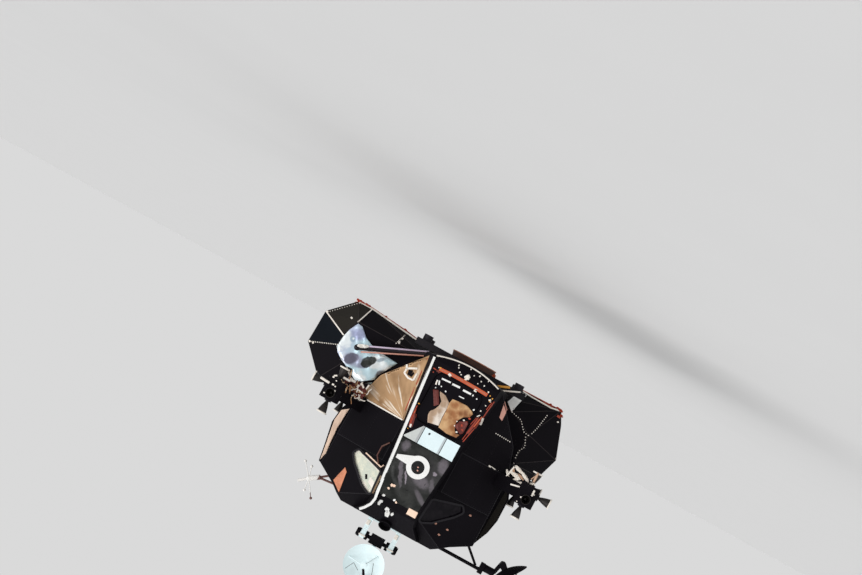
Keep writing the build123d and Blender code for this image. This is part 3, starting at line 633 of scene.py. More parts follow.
BLACK = ShieldPaint("shield_black", "dark_shield")
BLACK_SHEET = ShieldPaint(
    "shield_satin", "dark_shield", (0.008, 0.007, 0.009), (0.022, 0.020, 0.024),
    (0.06, 0.052, 0.055), rough=0.42, bulge=0.02, metal=0.05, sheen=0.12)
GREY_SHEET = ShieldPaint(
    "shield_grey", "dark_shield", (0.012, 0.010, 0.010), (0.040, 0.030, 0.030),
    (0.20, 0.14, 0.12), rough=0.4, metal=0.1, sheen=0.2)
# darker and lighter copies of the black paint, used on the fuel pod's facets as painted shade and
# painted light
BLUE_BLACK = ShieldPaint(
    "shield_blue_black", "dark_shield", (0.003, 0.004, 0.006), (0.009, 0.012, 0.017),
    (0.02, 0.025, 0.03), bulge=0.012, sheen=0.04)
GREEN_BLACK = ShieldPaint(
    "shield_green_black", "dark_shield", (0.012, 0.010, 0.008), (0.026, 0.023, 0.019),
    (0.06, 0.055, 0.045), bulge=0.012, sheen=0.08)
# pale ovals of painted light and painted highlight on the nose's film
NOSE_SHEET = SoftSheet("film_dark_grey", "dark_shield", lit=(
    ((-4.0, 76.0), (13.0, 10.0), 0.0, 0.9, 0.10), ((11.2, 65.6), (2.6, 3.0), 0.0, 0.8, 0.55),
    ((-14.2, 66.0), (3.0, 4.6), 20.0, 0.8, 0.60), ((-6.5, 80.0), (5.2, 3.2), -10.0, 0.8, 0.55),
    ((6.8, 80.5), (1.2, 8.5), 25.0, 0.7, 0.55), ((2.7, 82.2), (0.55, 4.4), 30.0, 0.5, 1.5),
    ((-10.9, 89.1), (6.0, 1.5), -35.0, 0.9, 0.45), ((-11.5, 72.2), (1.3, 0.9), 20.0, 0.5, 1.8),
    ((-13.6, 79.6), (1.4, 4.0), 20.0, 0.9, 0.40),
))
GOLD = CrinkledFoil(
    "foil_amber", "amber_foil", (0.15, 0.055, 0.016), (0.34, 0.135, 0.045), (0.60, 0.37, 0.18),
    scale=3.0)
# painted highlights along creases that run to the skirt's top inboard corner
SKIRT_GOLD = StreakedFoil("foil_amber_streaked", "amber_foil", (20.0, 53.0))
PALE_GOLD = CrinkledFoil(
    "foil_pale_amber", "amber_foil", (0.20, 0.13, 0.09), (0.44, 0.30, 0.20), (0.74, 0.66, 0.58),
    scale=2.8)
CRUMPLED_WHITE = CrinkledFoil(
    "foil_white_crumpled", "silver_foil", (0.20, 0.15, 0.11), (0.86, 0.83, 0.78),
    (0.96, 0.95, 0.92), metal=0.1, rough=0.35, scale=7.0, depth=0.03)
CRUMPLED_GOLD = CrinkledFoil(
    "foil_gold_crumpled", "amber_foil", (0.03, 0.014, 0.008), (0.42, 0.20, 0.09),
    (0.90, 0.70, 0.45), metal=0.4, rough=0.32, scale=9.0, depth=0.03)
# ovals of painted shade, shadow and reflection on the silver film, with a painted highlight on its
# stud
SILVER = PodFoil("foil_silver", "silver_foil", painted_shades=(
    ((71.0, 20.4), (5.4, 3.8), 28.0, 0.8, (0.33, 0.36, 0.54)),
    ((67.4, 36.0), (6.6, 3.8), 20.0, 0.7, (0.38, 0.40, 0.54)),
    ((72.9, 24.9), (1.9, 1.7), 0.0, 0.5, (0.36, 0.47, 0.58)),
    ((72.7, 24.4), (0.7, 0.7), 0.0, 0.8, (0.90, 0.96, 0.98)),
    ((60.0, 36.6), (4.6, 1.6), 30.0, 0.8, (0.28, 0.29, 0.40)),
    ((51.4, 27.8), (2.8, 1.2), 40.0, 0.8, (0.34, 0.42, 0.48)),
    ((48.2, 35.6), (3.4, 1.3), 62.0, 0.8, (0.14, 0.14, 0.16)),
    ((68.2, 35.8), (4.9, 3.3), 48.0, 0.35, (0.12, 0.115, 0.165)),
    ((57.7, 31.9), (4.9, 2.7), 36.0, 0.22, (0.013, 0.016, 0.013)),
    ((58.5, 34.4), (3.3, 2.5), 28.0, 0.22, (0.013, 0.016, 0.013)),
))
WHITE = Paint("paint_white", "white_paint", (0.86, 0.86, 0.84), (0.60, 0.57, 0.52))
PANEL_WHITE = PanelPaint("paint_panels", "white_paint")
ANTENNA_WHITE = Paint("paint_antenna_white", "antenna_white", (0.78, 0.92, 0.94),
                      (0.58, 0.63, 0.63), 0.4)
CREAM = Paint("paint_cream", "white_paint", (0.88, 0.82, 0.74), (0.45, 0.33, 0.25), 0.42)
MAST_WHITE = MastPaint("paint_mast", "antenna_white")
SHOULDER_TAN = Paint("trim_shoulder", "tan_trim", (0.93, 0.68, 0.52), (0.45, 0.24, 0.14), 0.42)
BROWN = Paint("trim_brown", "tan_trim", (0.20, 0.12, 0.06), (0.06, 0.035, 0.02))
# lilac paint of the strut's painted highlight
LILAC = Paint("strut_painted_highlight_lilac", "white_paint", (0.58, 0.48, 0.62), (0.30, 0.22, 0.26), 0.4)
# leaf paint, also used for painted glints and a painted highlight
LEAF = Paint("trim_leaf_and_painted_highlight", "tan_trim", (0.66, 0.33, 0.26), (0.35, 0.14, 0.10))
TAN = Paint("trim_tan", "tan_trim", (0.57, 0.36, 0.24), (0.30, 0.17, 0.10))
COPPER = Paint("trim_copper", "tan_trim", (0.64, 0.235, 0.12), (0.24, 0.09, 0.05), 0.4, 0.1)
PINK = Paint("trim_pink", "tan_trim", (0.42, 0.21, 0.15), (0.15, 0.07, 0.05))
ORANGE = Paint("trim_orange", "orange_trim", (0.40, 0.042, 0.012), (0.06, 0.010, 0.006), 0.42)
BRIGHT_ORANGE = Paint("trim_bright_orange", "orange_trim", (0.55, 0.095, 0.028),
                      (0.25, 0.035, 0.012), 0.4)
YELLOW = Paint("trim_yellow", "orange_trim", (0.76, 0.34, 0.04), (0.45, 0.14, 0.02), 0.4)
DARK_RED = Paint("trim_dark_red", "nozzle_liner", (0.13, 0.014, 0.007), (0.02, 0.004, 0.004))
METAL = Alloy("alloy_bare", "bare_alloy", (0.62, 0.62, 0.63), (0.40, 0.40, 0.41))
BELL_METAL = Alloy("alloy_thruster", "thruster_metal", (0.060, 0.054, 0.050),
                   (0.012, 0.010, 0.010), 0.4, (4.0, 4.0, 40.0))
DARK_METAL = Alloy("alloy_dark", "bare_alloy", (0.040, 0.036, 0.042), (0.010, 0.009, 0.012), 0.4)
LINER = BurntLiner("liner_burnt", "nozzle_liner")
GLASS = Pane("pane_clear", "window_glass")
# left pane: pale, nearly opaque glass as painted glare; right pane: dark glass as painted shade
PALE_PANE = Pane("pane_pale_painted_glare", "window_glass", (0.84, 0.82, 0.66), (0.64, 0.68, 0.58), 0.08, 0.3)
DARK_PANE = Pane("pane_dark", "window_glass", (0.010, 0.008, 0.011), (0.004, 0.003, 0.005),
                 clear=0.0, gloss=0.06)
LAMP = Pane("lamp_dark", "lamp_glass", (0.03, 0.012, 0.010), (0.008, 0.004, 0.004))
RAIL = Paint("rail_olive", "bare_alloy", (0.085, 0.022, 0.014), (0.05, 0.05, 0.012))
COCKPIT = Paint("cockpit_grey", "panel_grey", (0.20, 0.21, 0.22), (0.08, 0.08, 0.08), 0.6)


# ---------------------------------------------------------------- placing and making meshes

class View(Enum):
    """A side of the craft, as the axes across and up its elevation and the way to look."""

    FRONT = ((1, 0, 0), (0, 0, 1), (0, 1, 0))
    BACK = ((1, 0, 0), (0, 0, 1), (0, -1, 0))
    TOP = ((1, 0, 0), (0, 1, 0), (0, 0, -1))
    BELOW = ((1, 0, 0), (0, 1, 0), (0, 0, 1))
    PHOTO = ((1, 0, 0), (0, 0, 1), (0.0494, 0.9975, -0.0513))

    def ray(self, u: float, v: float) -> tuple[Vector, Vector]:
        """The line of sight at a place in the elevation.

        PHOTO's places lie on the cabin's front plane, seen from the photograph's own eye.

        Args:
            u: Place across, in inches.
            v: Place up, in inches.

        Returns:
            A point well outside the craft, and the way to look.
        """
        across, up, way = (Vector(axis) for axis in self.value)
        if self is View.PHOTO:
            eye = Vector(EYE)
            return eye, (Vector((u, FRONT_PLANE, v)) * IN - eye).normalized()
        return (across * u + up * v) * IN - way * STAND_OFF, way


class Surface:
    """Chosen CAD nodes as one surface that lines of sight can meet."""

    def __init__(self, nodes: Nodes) -> None:
        """Gather the nodes' triangles.

        Args:
            nodes: Names of the nodes.
        """
        points: list[Vector] = []
        faces: list[list[int]] = []
        for name in nodes:
            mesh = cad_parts[name].data
            first = len(points)
            points.extend(v.co.copy() for v in mesh.vertices)
            faces.extend([first + i for i in p.vertices] for p in mesh.polygons)
        self.tree = BVHTree.FromPolygons(points, faces)

    def meet(self, view: View, place: Pair) -> tuple[Vector, Vector]:
        """Where the line of sight meets the surface, or comes nearest to it.

        Args:
            view: The side to look from.
            place: Place across and up the elevation, in inches.

        Returns:
            The point, and the outward normal there.
        """
        start, way = view.ray(*place)
        hit, normal, _, _ = self.tree.ray_cast(start, way)
        if hit is None:
            near = start + way * (-start.y / way.y if view is View.PHOTO else NEAR_CRAFT)
            hit, normal, _, _ = self.tree.find_nearest(near)
        return hit, (normal if normal.dot(way) < 0 else -normal)


def new_object(name: str, mesh: bpy.types.Mesh, finish: Finish, body: str) -> bpy.types.Object:
    """Put a mesh in the scene as a piece that rides on a body.

    Args:
        name: The piece's name.
        mesh: Its mesh, in the frame.
        finish: Its finish.
        body: The body that carries it.

    Returns:
        The new object.
    """
    piece = bpy.data.objects.new(name, mesh)
    bpy.context.scene.collection.objects.link(piece)
    mesh.materials.clear()
    mesh.materials.append(finish.material())
    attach(piece, body)
    log.info("%s: %d faces on %s", name, len(mesh.polygons), body)
    return piece


def piece_of(form: bmesh.types.BMesh, name: str, finish: Finish, body: str = STAGE,
             smooth: bool = False) -> bpy.types.Object:
    """Turn a form into a piece and free it.

    Args:
        form: The form, in the frame.
        name: The piece's name.
        finish: Its finish.
        body: The body that carries it.
        smooth: Whether its faces are shaded smooth.

    Returns:
        The piece.
    """
    mesh = bpy.data.meshes.new(name)
    form.to_mesh(mesh)
    form.free()
    for polygon in mesh.polygons:
        polygon.use_smooth = smooth
    return new_object(name, mesh, finish, body)


def absorb(form: bmesh.types.BMesh, part: bmesh.types.BMesh) -> None:
    """Add a part to a form and free it.

    Args:
        form: The form that grows.
        part: What it takes in.
    """
    mesh = bpy.data.meshes.new("part")
    part.to_mesh(mesh)
    part.free()
    form.from_mesh(mesh)
    bpy.data.meshes.remove(mesh)


@dataclass(frozen=True)
class Patch:
    """A piece of thin sheet laid on the craft, by its outline in an elevation, in inches."""

    outline: Outline
    onto: Nodes
    lift: float = 0.08
    thick: float = 0.08
    wrinkle: float = 0.0
    fold: float = 0.0
    cell: Pair = (2.0, 2.0)
    view: View = View.PHOTO


def ribbon(points: Outline, wide: float) -> list[Pair]:
    """Outline of a flat strip that follows a line.

    Args:
        points: The line's corners.
        wide: The strip's width.

    Returns:
        The outline.
    """
    left, right = [], []
    for i, (u, v) in enumerate(points):
        before, after = points[max(i - 1, 0)], points[min(i + 1, len(points) - 1)]
        du, dv = after[0] - before[0], after[1] - before[1]
        size = math.hypot(du, dv) / (wide / 2)
        left.append((u - dv / size, v + du / size))
        right.append((u + dv / size, v - du / size))
    return left + right[::-1]


def strips(rows: Iterable[tuple[Outline, float]], onto: Nodes, lift: float, thick: float,
           cell: Pair = (3.0, 3.0)) -> list[Patch]:
    """Flat strips along lines of the photograph's view.

    Args:
        rows: Each strip's line and its width, in inches.
        onto: The nodes that they lie on.
        lift: Their height above the surface, in inches.
        thick: Their thickness, in inches.
        cell: Size of the cells that they are cut into, in inches.

    Returns:
        The patches.
    """
    return [Patch(ribbon(line, wide), onto, lift, thick, cell=cell) for line, wide in rows]


def spots(places: Outline, onto: Nodes, size: float, lift: float = 0.4) -> list[Patch]:
    """Small raised plates of uneven form, at places of the photograph's view.

    Args:
        places: Their middles.
        onto: The nodes that they lie on.
        size: Their usual width, in inches.
        lift: Their height above the surface, in inches.

    Returns:
        The patches.
    """
    # corners of the usual plate: angle in radians, and distance as a share of the width
    plate = ((0.3, 0.62), (1.3, 0.48), (2.4, 0.58), (3.4, 0.66), (4.4, 0.44), (5.4, 0.55))
    found = []
    for u, v in places:
        turn = noise.noise(Vector((u, v, 3.0))) * 3.0
        grow = size * (1.0 + 0.5 * noise.noise(Vector((v, u, 7.0))))
        found.append(Patch([
            (u + grow * far * math.cos(a + turn), v + grow * far * math.sin(a + turn))
            for a, far in plate], onto, lift, lift))
    return found


class SheetMaker:
    """Cuts sheets from flat outlines and lays them on the CAD surfaces."""

    def __init__(self) -> None:
        """Start with no surfaces gathered."""
        self.surfaces: dict[Nodes, Surface] = {}

    def surface(self, nodes: Nodes) -> Surface:
        """The surface of some nodes, gathered once.

        Args:
            nodes: Names of the nodes.

        Returns:
            The surface.
        """
        if nodes not in self.surfaces:
            self.surfaces[nodes] = Surface(nodes)
        return self.surfaces[nodes]

    def lay(self, sheet: bmesh.types.BMesh, patch: Patch) -> None:
        """Add one patch to a mesh.

        Args:
            sheet: The mesh that grows.
            patch: What to lay.
        """
        part = bmesh.new()
        part.faces.new([part.verts.new((u, v, 0.0)) for u, v in patch.outline])
        bmesh.ops.triangulate(part, faces=part.faces[:])
        for axis, (size, way) in enumerate(zip(patch.cell, (Vector((1, 0, 0)), Vector((0, 1, 0))))):
            values = [corner[axis] for corner in patch.outline]
            step = math.ceil(min(values) / size) * size
            while step < max(values):
                geometry = part.verts[:] + part.edges[:] + part.faces[:]
                bmesh.ops.bisect_plane(
                    part, geom=geometry, plane_co=way * step, plane_no=way, dist=1e-5)
                step += size
        rim = {v for e in part.edges if e.is_boundary for v in e.verts}
        surface = self.surface(patch.onto)
        normals: dict[bmesh.types.BMVert, Vector] = {}
        for vert in part.verts:
            point, normal = surface.meet(patch.view, vert.co.xy)
            rise = patch.lift
            if patch.wrinkle or patch.fold:
                rise += self.crumple(point, patch) * (0.25 if vert in rim else 1.0)
            vert.co = point + normal * rise * IN
            normals[vert] = normal
        way = Vector(patch.view.value[2])
        for face in part.faces:
            face.normal_update()
            if face.normal.dot(way) > 0:
                face.normal_flip()
        under = {v: part.verts.new(v.co - normals[v] * patch.thick * IN) for v in list(normals)}
        edges = [e for e in part.edges if e.is_boundary]
        for face in list(part.faces):
            part.faces.new([under[v] for v in reversed(face.verts)])
        for edge in edges:
            loop = edge.link_loops[0]
            a, b = loop.vert, loop.link_loop_next.vert
            part.faces.new((b, a, under[a], under[b]))
        absorb(sheet, part)

    @staticmethod
    def crumple(point: Vector, patch: Patch) -> float:
        """Rise of a crumpled sheet at a point.

        Args:
            point: Where, in metres.
            patch: The sheet, whose wrinkle and fold are the heights in inches.

        Returns:
            The rise, in inches.
        """
        small = noise.turbulence(point * 6.0, 3, True)
        x, y, z = point
        ridge = 1.0 - abs(noise.noise(Vector((x * 1.6 + z * 1.1, y, z * 0.35 - x * 0.2)) * 3.2))
        return patch.wrinkle * small + patch.fold * ridge ** 5

    def pieces(self, name: str, patches: Iterable[Patch], finish: Finish, body: str = STAGE,
               smooth: bool = False) -> bpy.types.Object:
        """Lay some patches as one piece.

        Args:
            name: The piece's name.
            patches: What it holds.
            finish: Its finish.
            body: The body that carries it.
            smooth: Whether its faces are shaded smooth.

        Returns:
            The piece.
        """
        sheet = bmesh.new()
        for patch in patches:
            self.lay(sheet, patch)
        return piece_of(sheet, name, finish, body, smooth)


class Stock:
    """Small solid pieces: bevelled blocks, bars and lumps, gathered in one mesh."""

    def __init__(self) -> None:
        """Start with nothing."""
        self.form = bmesh.new()

    def block(self, centre: Triple, size: Triple, bevel: float = 0.12) -> None:
        """Add a block with rounded edges.

        Args:
            centre: Its middle, in inches.
            size: Its size, in inches.
            bevel: Width of its rounded edges, in inches.
        """
        part = bmesh.new()
        bmesh.ops.create_cube(part, size=1.0)
        bmesh.ops.scale(part, vec=Vector(size) * IN, verts=part.verts)
        bmesh.ops.bevel(part, geom=part.edges[:], offset=bevel * IN, segments=2, profile=0.5,
                        affect="EDGES")
        bmesh.ops.translate(part, vec=Vector(centre) * IN, verts=part.verts)
        absorb(self.form, part)

    def studs(self, rows: Iterable[tuple[Triple, float]], deep: float, high: float) -> None:
        """Add flat studs.

        Args:
            rows: Each stud's middle and width, in inches.
            deep: Their depth, in inches.
            high: Their height, as a share of their width.
        """
        for centre, size in rows:
            self.block(centre, (size, deep, size * high), 0.2)

    def bar(self, start: Place, end: Place, radius: float, sides: int = 12,
            end_radius: float | None = None) -> None:
        """Add a round bar with softened ends.

        Args:
            start: One end, in inches.
            end: The other end, in inches.
            radius: Its radius, in inches.
            sides: How many sides it has.
            end_radius: Radius at its end, if it tapers.
        """
        low, high = Vector(start) * IN, Vector(end) * IN
        way = high - low
        last = (end_radius or radius) * IN
        first = radius * IN
        rings = ((0.0, first * 0.7), (min(0.2 * first / way.length, 0.2), first),
                 (1.0 - min(0.2 * last / way.length, 0.2), last), (1.0, last * 0.7))
        self._turned(low, way, rings, sides)

    def bars(self, rows: Iterable[tuple[Place, Place, float]]) -> None:
        """Add bars by their ends and radius."""
        for row in rows:
            self.bar(*row)

    def collar(self, centre: Place, way: Place, radius: float, long: float) -> None:
        """Add a collar with a bead at each end.

        Args:
            centre: Its middle, in inches.
            way: The way that its axis points.
            radius: Its radius, in inches.
            long: Its length, in inches.
        """
        axis = Vector(way).normalized() * long * IN
        r = radius * IN
        rings = ((0.0, r * 0.7), (0.0, r), (0.2, r * 1.08), (0.35, r * 0.92), (0.65, r * 0.92),
                 (0.8, r * 1.08), (1.0, r), (1.0, r * 0.7))
        self._turned(Vector(centre) * IN - axis / 2, axis, rings, 20)

    def ring(self, centre: Place, way: Place, radius: float, wire_r: float) -> None:
        """Add a thin round ring.

        Args:
            centre: Its middle, in inches.
            way: Its axis.
            radius: Its radius, in inches.
            wire_r: Half its thickness, in inches.
        """
        count, sides = 28, 6
        turn = Vector(way).to_track_quat("Z", "Y").to_matrix()
        part = bmesh.new()
        rings = []
        for i in range(count):
            spin = 2 * math.pi * i / count
            out = Vector((math.cos(spin), math.sin(spin), 0.0))
            rings.append([part.verts.new((Vector(centre) + turn @ (
                out * (radius + wire_r * math.cos(a)) + Vector((0, 0, wire_r * math.sin(a))))) * IN)
                for a in (math.pi * j / 3 for j in range(sides))])
        for first, second in zip(rings, rings[1:] + rings[:1]):
            for j in range(sides):
                k = (j + 1) % sides
                part.faces.new((first[j], second[j], second[k], first[k]))
        absorb(self.form, part)

    def crumpled(self, centre: Place, size: Triple, rough: float, lean: float = 0.0,
                 turn: Matrix | None = None) -> None:
        """Add a lump of film crumpled round what it wraps.

        Args:
            centre: Its middle, in inches.
            size: Its half sizes, in inches.
            rough: Depth of its folds, as a share of its size.
            lean: Its turn about Y, in radians.
            turn: Its whole turn, in place of lean.
        """
        part = bmesh.new()
        bmesh.ops.create_icosphere(part, subdivisions=4, radius=1.0)
        shift = Vector(centre) * 0.37
        for vert in part.verts:
            way = vert.co.normalized()
            fold = 1.0 - abs(noise.noise(way * 2.3 + shift)) * 1.6
            crease = abs(noise.noise(way * 5.5 + shift * 1.7))
            grow = 1.0 + rough * (fold - 0.6) - rough * 0.9 * crease
            vert.co = Vector(value * grow * half * IN for value, half in zip(way, size))
        place = Matrix.Translation(Vector(centre) * IN) @ (turn or Matrix.Rotation(lean, 4, "Y"))
        bmesh.ops.transform(part, matrix=place, verts=part.verts)
        absorb(self.form, part)

    def lobe(self, start: Triple, end: Triple, half: float) -> None:
        """Add a crumpled lump that reaches from one place to another.

        Args:
            start: One end, in inches.
            end: The other end, in inches.
            half: Half its thickness, in inches.
        """
        low, high = Vector(start), Vector(end)
        turn = (high - low).to_track_quat("X", "Z").to_matrix().to_4x4()
        self.crumpled((low + high) / 2, ((high - low).length / 2, half, half), 0.5, turn=turn)

    def tangle(self, middle: Triple, reach: Triple, count: int, radius: float) -> None:
        """Add short wires that curl about in a region.

        Args:
            middle: The region's middle, in inches.
            reach: Its half sizes, in inches.
            count: How many wires.
            radius: Their radius, in inches.
        """
        parts, spread, curl, long = 5, 1.9, 1.4, 0.8
        for i in range(count):
            seed = Vector(middle) * 0.31 + Vector((i * 5.3, i * 2.9, i * 7.1))
            place = Vector(
                value + half * spread * noise.noise(seed + Vector((j * 11.0, 0, 0)))
                for j, (value, half) in enumerate(zip(middle, reach)))
            way = noise.noise_vector(seed * 1.7).normalized()
            for step in range(parts):
                stir = noise.noise_vector(seed * 2.3 + Vector((step * 3.7, 0, 0)))
                way = (way + stir * curl).normalized()
                end = place + way * (long + radius)
                self.bar(place, end, radius * (1.0 + 0.4 * noise.noise(end)), 6)
                place = end

    def _turned(self, low: Vector, way: Vector, rings: Sequence[Pair], sides: int) -> None:
        """Add a closed turned form.

        Args:
            low: Where its axis starts, in metres.
            way: Its axis, in metres.
            rings: Place along the axis from nought to one, and radius in metres.
            sides: How many sides it has.
        """
        part = bmesh.new()
        side = way.orthogonal().normalized()
        other = way.normalized().cross(side)
        loops = []
        for share, radius in rings:
            middle = low + way * share
            loops.append([
                part.verts.new(middle + (side * math.cos(a) + other * math.sin(a)) * radius)
                for a in (2 * math.pi * i / sides for i in range(sides))])
        for one, two in zip(loops, loops[1:]):
            for i in range(sides):
                j = (i + 1) % sides
                part.faces.new((one[i], one[j], two[j], two[i]))
        part.faces.new(list(reversed(loops[0])))
        part.faces.new(loops[-1])
        absorb(self.form, part)

    def finish(self, name: str, finish: Finish, body: str = STAGE,
               smooth: bool = False) -> bpy.types.Object:
        """Turn what was gathered into a piece with outward faces."""
        bmesh.ops.recalc_face_normals(self.form, faces=self.form.faces)
        return piece_of(self.form, name, finish, body, smooth)


# ---------------------------------------------------------------- what repeats along a path

@dataclass
class Path:
    """Points of one line on the craft, with the way out of the surface at each."""

    points: list[Vector] = field(default_factory=list)
    facings: list[Vector] = field(default_factory=list)

    @classmethod
    def circle(cls, radius: float, z: float, half: int, facing: int) -> "Path":
        """A level circle about the craft's axis, closed on its first point.

        Args:
            radius: Its radius, in inches.
            z: Its height, in inches.
            half: How many steps make half of it.
            facing: One where it faces up, minus one where it faces down.

        Returns:
            The path.
        """
        path = cls()
        for i in range(half * 2 + 1):
            angle = math.pi * i / half
            path.points.append(Vector((math.cos(angle) * radius, math.sin(angle) * radius, z)) * IN)
            path.facings.append(Vector((0, 0, facing)))
        return path


class Repeater:
    """Geometry Nodes that set rivets along paths, or lay a bead on them."""

    def __init__(self) -> None:
        """Build both trees."""
        self.rivets = self._tree("rivets_along_path", ("Spacing", "Radius", "Height"), {
            "spaced": ("GeometryNodeResampleCurve", {"mode": "LENGTH"}, {}),
            "head": ("GeometryNodeMeshUVSphere", {}, {"Segments": 8, "Rings": 5}),
            "facing": ("GeometryNodeInputNamedAttribute", {"data_type": "FLOAT_VECTOR"},
                       {"Name": "facing"}),
            "align": ("FunctionNodeAlignRotationToVector", {"axis": "Z"}, {}),
            "flat": ("ShaderNodeCombineXYZ", {}, {"X": 1.0, "Y": 1.0}),
            "put": ("GeometryNodeInstanceOnPoints", {}, {}),
        }, (
            ("curve", "Curve", "spaced", "Curve"), ("given", "Spacing", "spaced", "Length"),
            ("given", "Radius", "head", "Radius"), ("facing", "Attribute", "align", "Vector"),
            ("given", "Height", "flat", "Z"), ("spaced", "Curve", "put", "Points"),
            ("head", "Mesh", "put", "Instance"), ("align", "Rotation", "put", "Rotation"),
            ("flat", "Vector", "put", "Scale"), ("put", "Instances", "realize", "Geometry"),
        ))
        self.beads = self._tree("bead_along_path", ("Radius",), {
            "ring": ("GeometryNodeCurvePrimitiveCircle", {}, {"Resolution": 8}),
            "bead": ("GeometryNodeCurveToMesh", {}, {"Fill Caps": True}),
        }, (
            ("given", "Radius", "ring", "Radius"), ("curve", "Curve", "bead", "Curve"),
            ("ring", "Curve", "bead", "Profile Curve"), ("bead", "Mesh", "realize", "Geometry"),
        ))

    @staticmethod
    def _tree(name: str, sizes: Sequence[str], nodes: dict[str, tuple[str, dict, dict]],
              links: tuple[tuple[str, str, str, str], ...]) -> bpy.types.NodeTree:
        """Build a tree that takes a mesh's edges as curves and ends with a finished mesh.

        Args:
            name: The tree's name.
            sizes: Names of its sizes.
            nodes: Its own nodes, as wire takes them.
            links: Its own links, from "given" and "curve" to "realize".

        Returns:
            The tree.
        """
        tree = bpy.data.node_groups.new(name, "GeometryNodeTree")
        for label, way, kind in (
            ("Geometry", "INPUT", "Geometry"), *((size, "INPUT", "Float") for size in sizes),
            ("Finish", "INPUT", "Material"), ("Geometry", "OUTPUT", "Geometry"),
        ):
            tree.interface.new_socket(label, in_out=way, socket_type="NodeSocket" + kind)
        wire(tree, {
            "given": ("NodeGroupInput", {}, {}), "curve": ("GeometryNodeMeshToCurve", {}, {}),
            "realize": ("GeometryNodeRealizeInstances", {}, {}),
            "smooth": ("GeometryNodeSetShadeSmooth", {}, {}),
            "finish": ("GeometryNodeSetMaterial", {}, {}), "result": ("NodeGroupOutput", {}, {}),
            **nodes,
        }, (
            ("given", "Geometry", "curve", "Mesh"), ("given", "Finish", "finish", "Material"),
            ("realize", "Geometry", "smooth", "Geometry"),
            ("smooth", "Geometry", "finish", "Geometry"),
            ("finish", "Geometry", "result", "Geometry"), *links,
        ))
        return tree

    @staticmethod
    def run(name: str, tree: bpy.types.NodeTree, paths: Iterable[Path], sizes: dict[str, float],
            finish: Finish, body: str) -> bpy.types.Object:
        """Run a tree over some paths and keep the result as a plain piece.

        Args:
            name: The piece's name.
            tree: The tree.
            paths: The paths, in metres.
            sizes: The tree's sizes by name, in metres.
            finish: The piece's finish.
            body: The body that carries it.

        Returns:
            The piece.
        """
        points, facings, edges = [], [], []
        for path in paths:
            first = len(points)
            edges += [(first + i, first + i + 1) for i in range(len(path.points) - 1)]
            points += path.points
            facings += path.facings
        line = bpy.data.meshes.new(name + "_line")
        line.from_pydata(points, edges, [])
        attribute = line.attributes.new("facing", "FLOAT_VECTOR", "POINT")
        attribute.data.foreach_set("vector", [value for facing in facings for value in facing])
        source = bpy.data.objects.new(name + "_line", line)
        bpy.context.scene.collection.objects.link(source)
        modifier = source.modifiers.new("repeat", "NODES")
        modifier.node_group = tree
        labels = {item.name: item.identifier for item in tree.interface.items_tree
                  if item.item_type == "SOCKET" and item.in_out == "INPUT"}
        for label, value in sizes.items():
            modifier[labels[label]] = value
        modifier[labels["Finish"]] = finish.material()
        graph = bpy.context.evaluated_depsgraph_get()
        mesh = bpy.data.meshes.new_from_object(source.evaluated_get(graph), depsgraph=graph)
        source.modifiers.remove(modifier)
        bpy.data.objects.remove(source)
        bpy.data.meshes.remove(line)
        mesh.name = name
        return new_object(name, mesh, finish, body)


class Tracer:
    """Finds paths on the CAD surfaces."""

    def __init__(self, sheets: SheetMaker) -> None:
        """Share the sheet maker's surfaces."""
        self.sheets = sheets

    def line(self, points: Outline, onto: Nodes, view: View = View.FRONT, lift: float = 0.0,
             step: float = 1.5) -> Path:
        """Lay a line of an elevation on the craft.

        Args:
            points: The line's corners, in inches.
            onto: The nodes that it lies on.
            view: The elevation.
            lift: Height above the surface, in inches.
            step: Length of its pieces, in inches.

        Returns:
            The path.
        """
        places = []
        for one, two in zip(points, points[1:]):
            count = max(1, round(math.dist(one, two) / step))
            places += [(one[0] + (two[0] - one[0]) * (i / count),
                        one[1] + (two[1] - one[1]) * (i / count)) for i in range(count)]
        path = Path()
        for place in (*places, points[-1]):
            point, normal = self.sheets.surface(onto).meet(view, place)
            path.points.append(point + normal * lift * IN)
            path.facings.append(normal)
        return path

    @staticmethod
    def sharp_edges(node: str, angle: float, low: Triple, high: Triple,
                    shortest: float) -> list[Path]:
        """The sharp outer edges of a node inside a box, sunk slightly into the node.

        Args:
            node: The CAD node.
            angle: Smallest turn at an edge, in degrees.
            low: Low corner of the box, in inches.
            high: High corner of the box, in inches.
            shortest: Shortest edge kept, in inches.

        Returns:
            One path per edge.
        """
        sink = 0.12
        form = bmesh.new()
        form.from_mesh(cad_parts[node].data)
        bmesh.ops.remove_doubles(form, verts=form.verts, dist=1e-5)
        bmesh.ops.dissolve_limit(form, angle_limit=math.radians(1.0), verts=form.verts,
                                 edges=form.edges)
        paths = []
        for edge in form.edges:
            if len(edge.link_faces) != 2 or edge.calc_length() < shortest * IN:
                continue
            if edge.calc_face_angle_signed(0.0) < math.radians(angle):
                continue
            ends = [vert.co / IN for vert in edge.verts]
            if any(not low[i] <= end[i] <= high[i] for end in ends for i in range(3)):
                continue
            out = (edge.link_faces[0].normal + edge.link_faces[1].normal).normalized()
            points = [
                Vector(min(max(value, least + BEAD_ROOM), most - BEAD_ROOM)
                       for value, least, most in zip(vert.co - out * sink * IN, *CAD_BOX))
                for vert in edge.verts]
            paths.append(Path(points, [out, out]))
        form.free()
        return paths


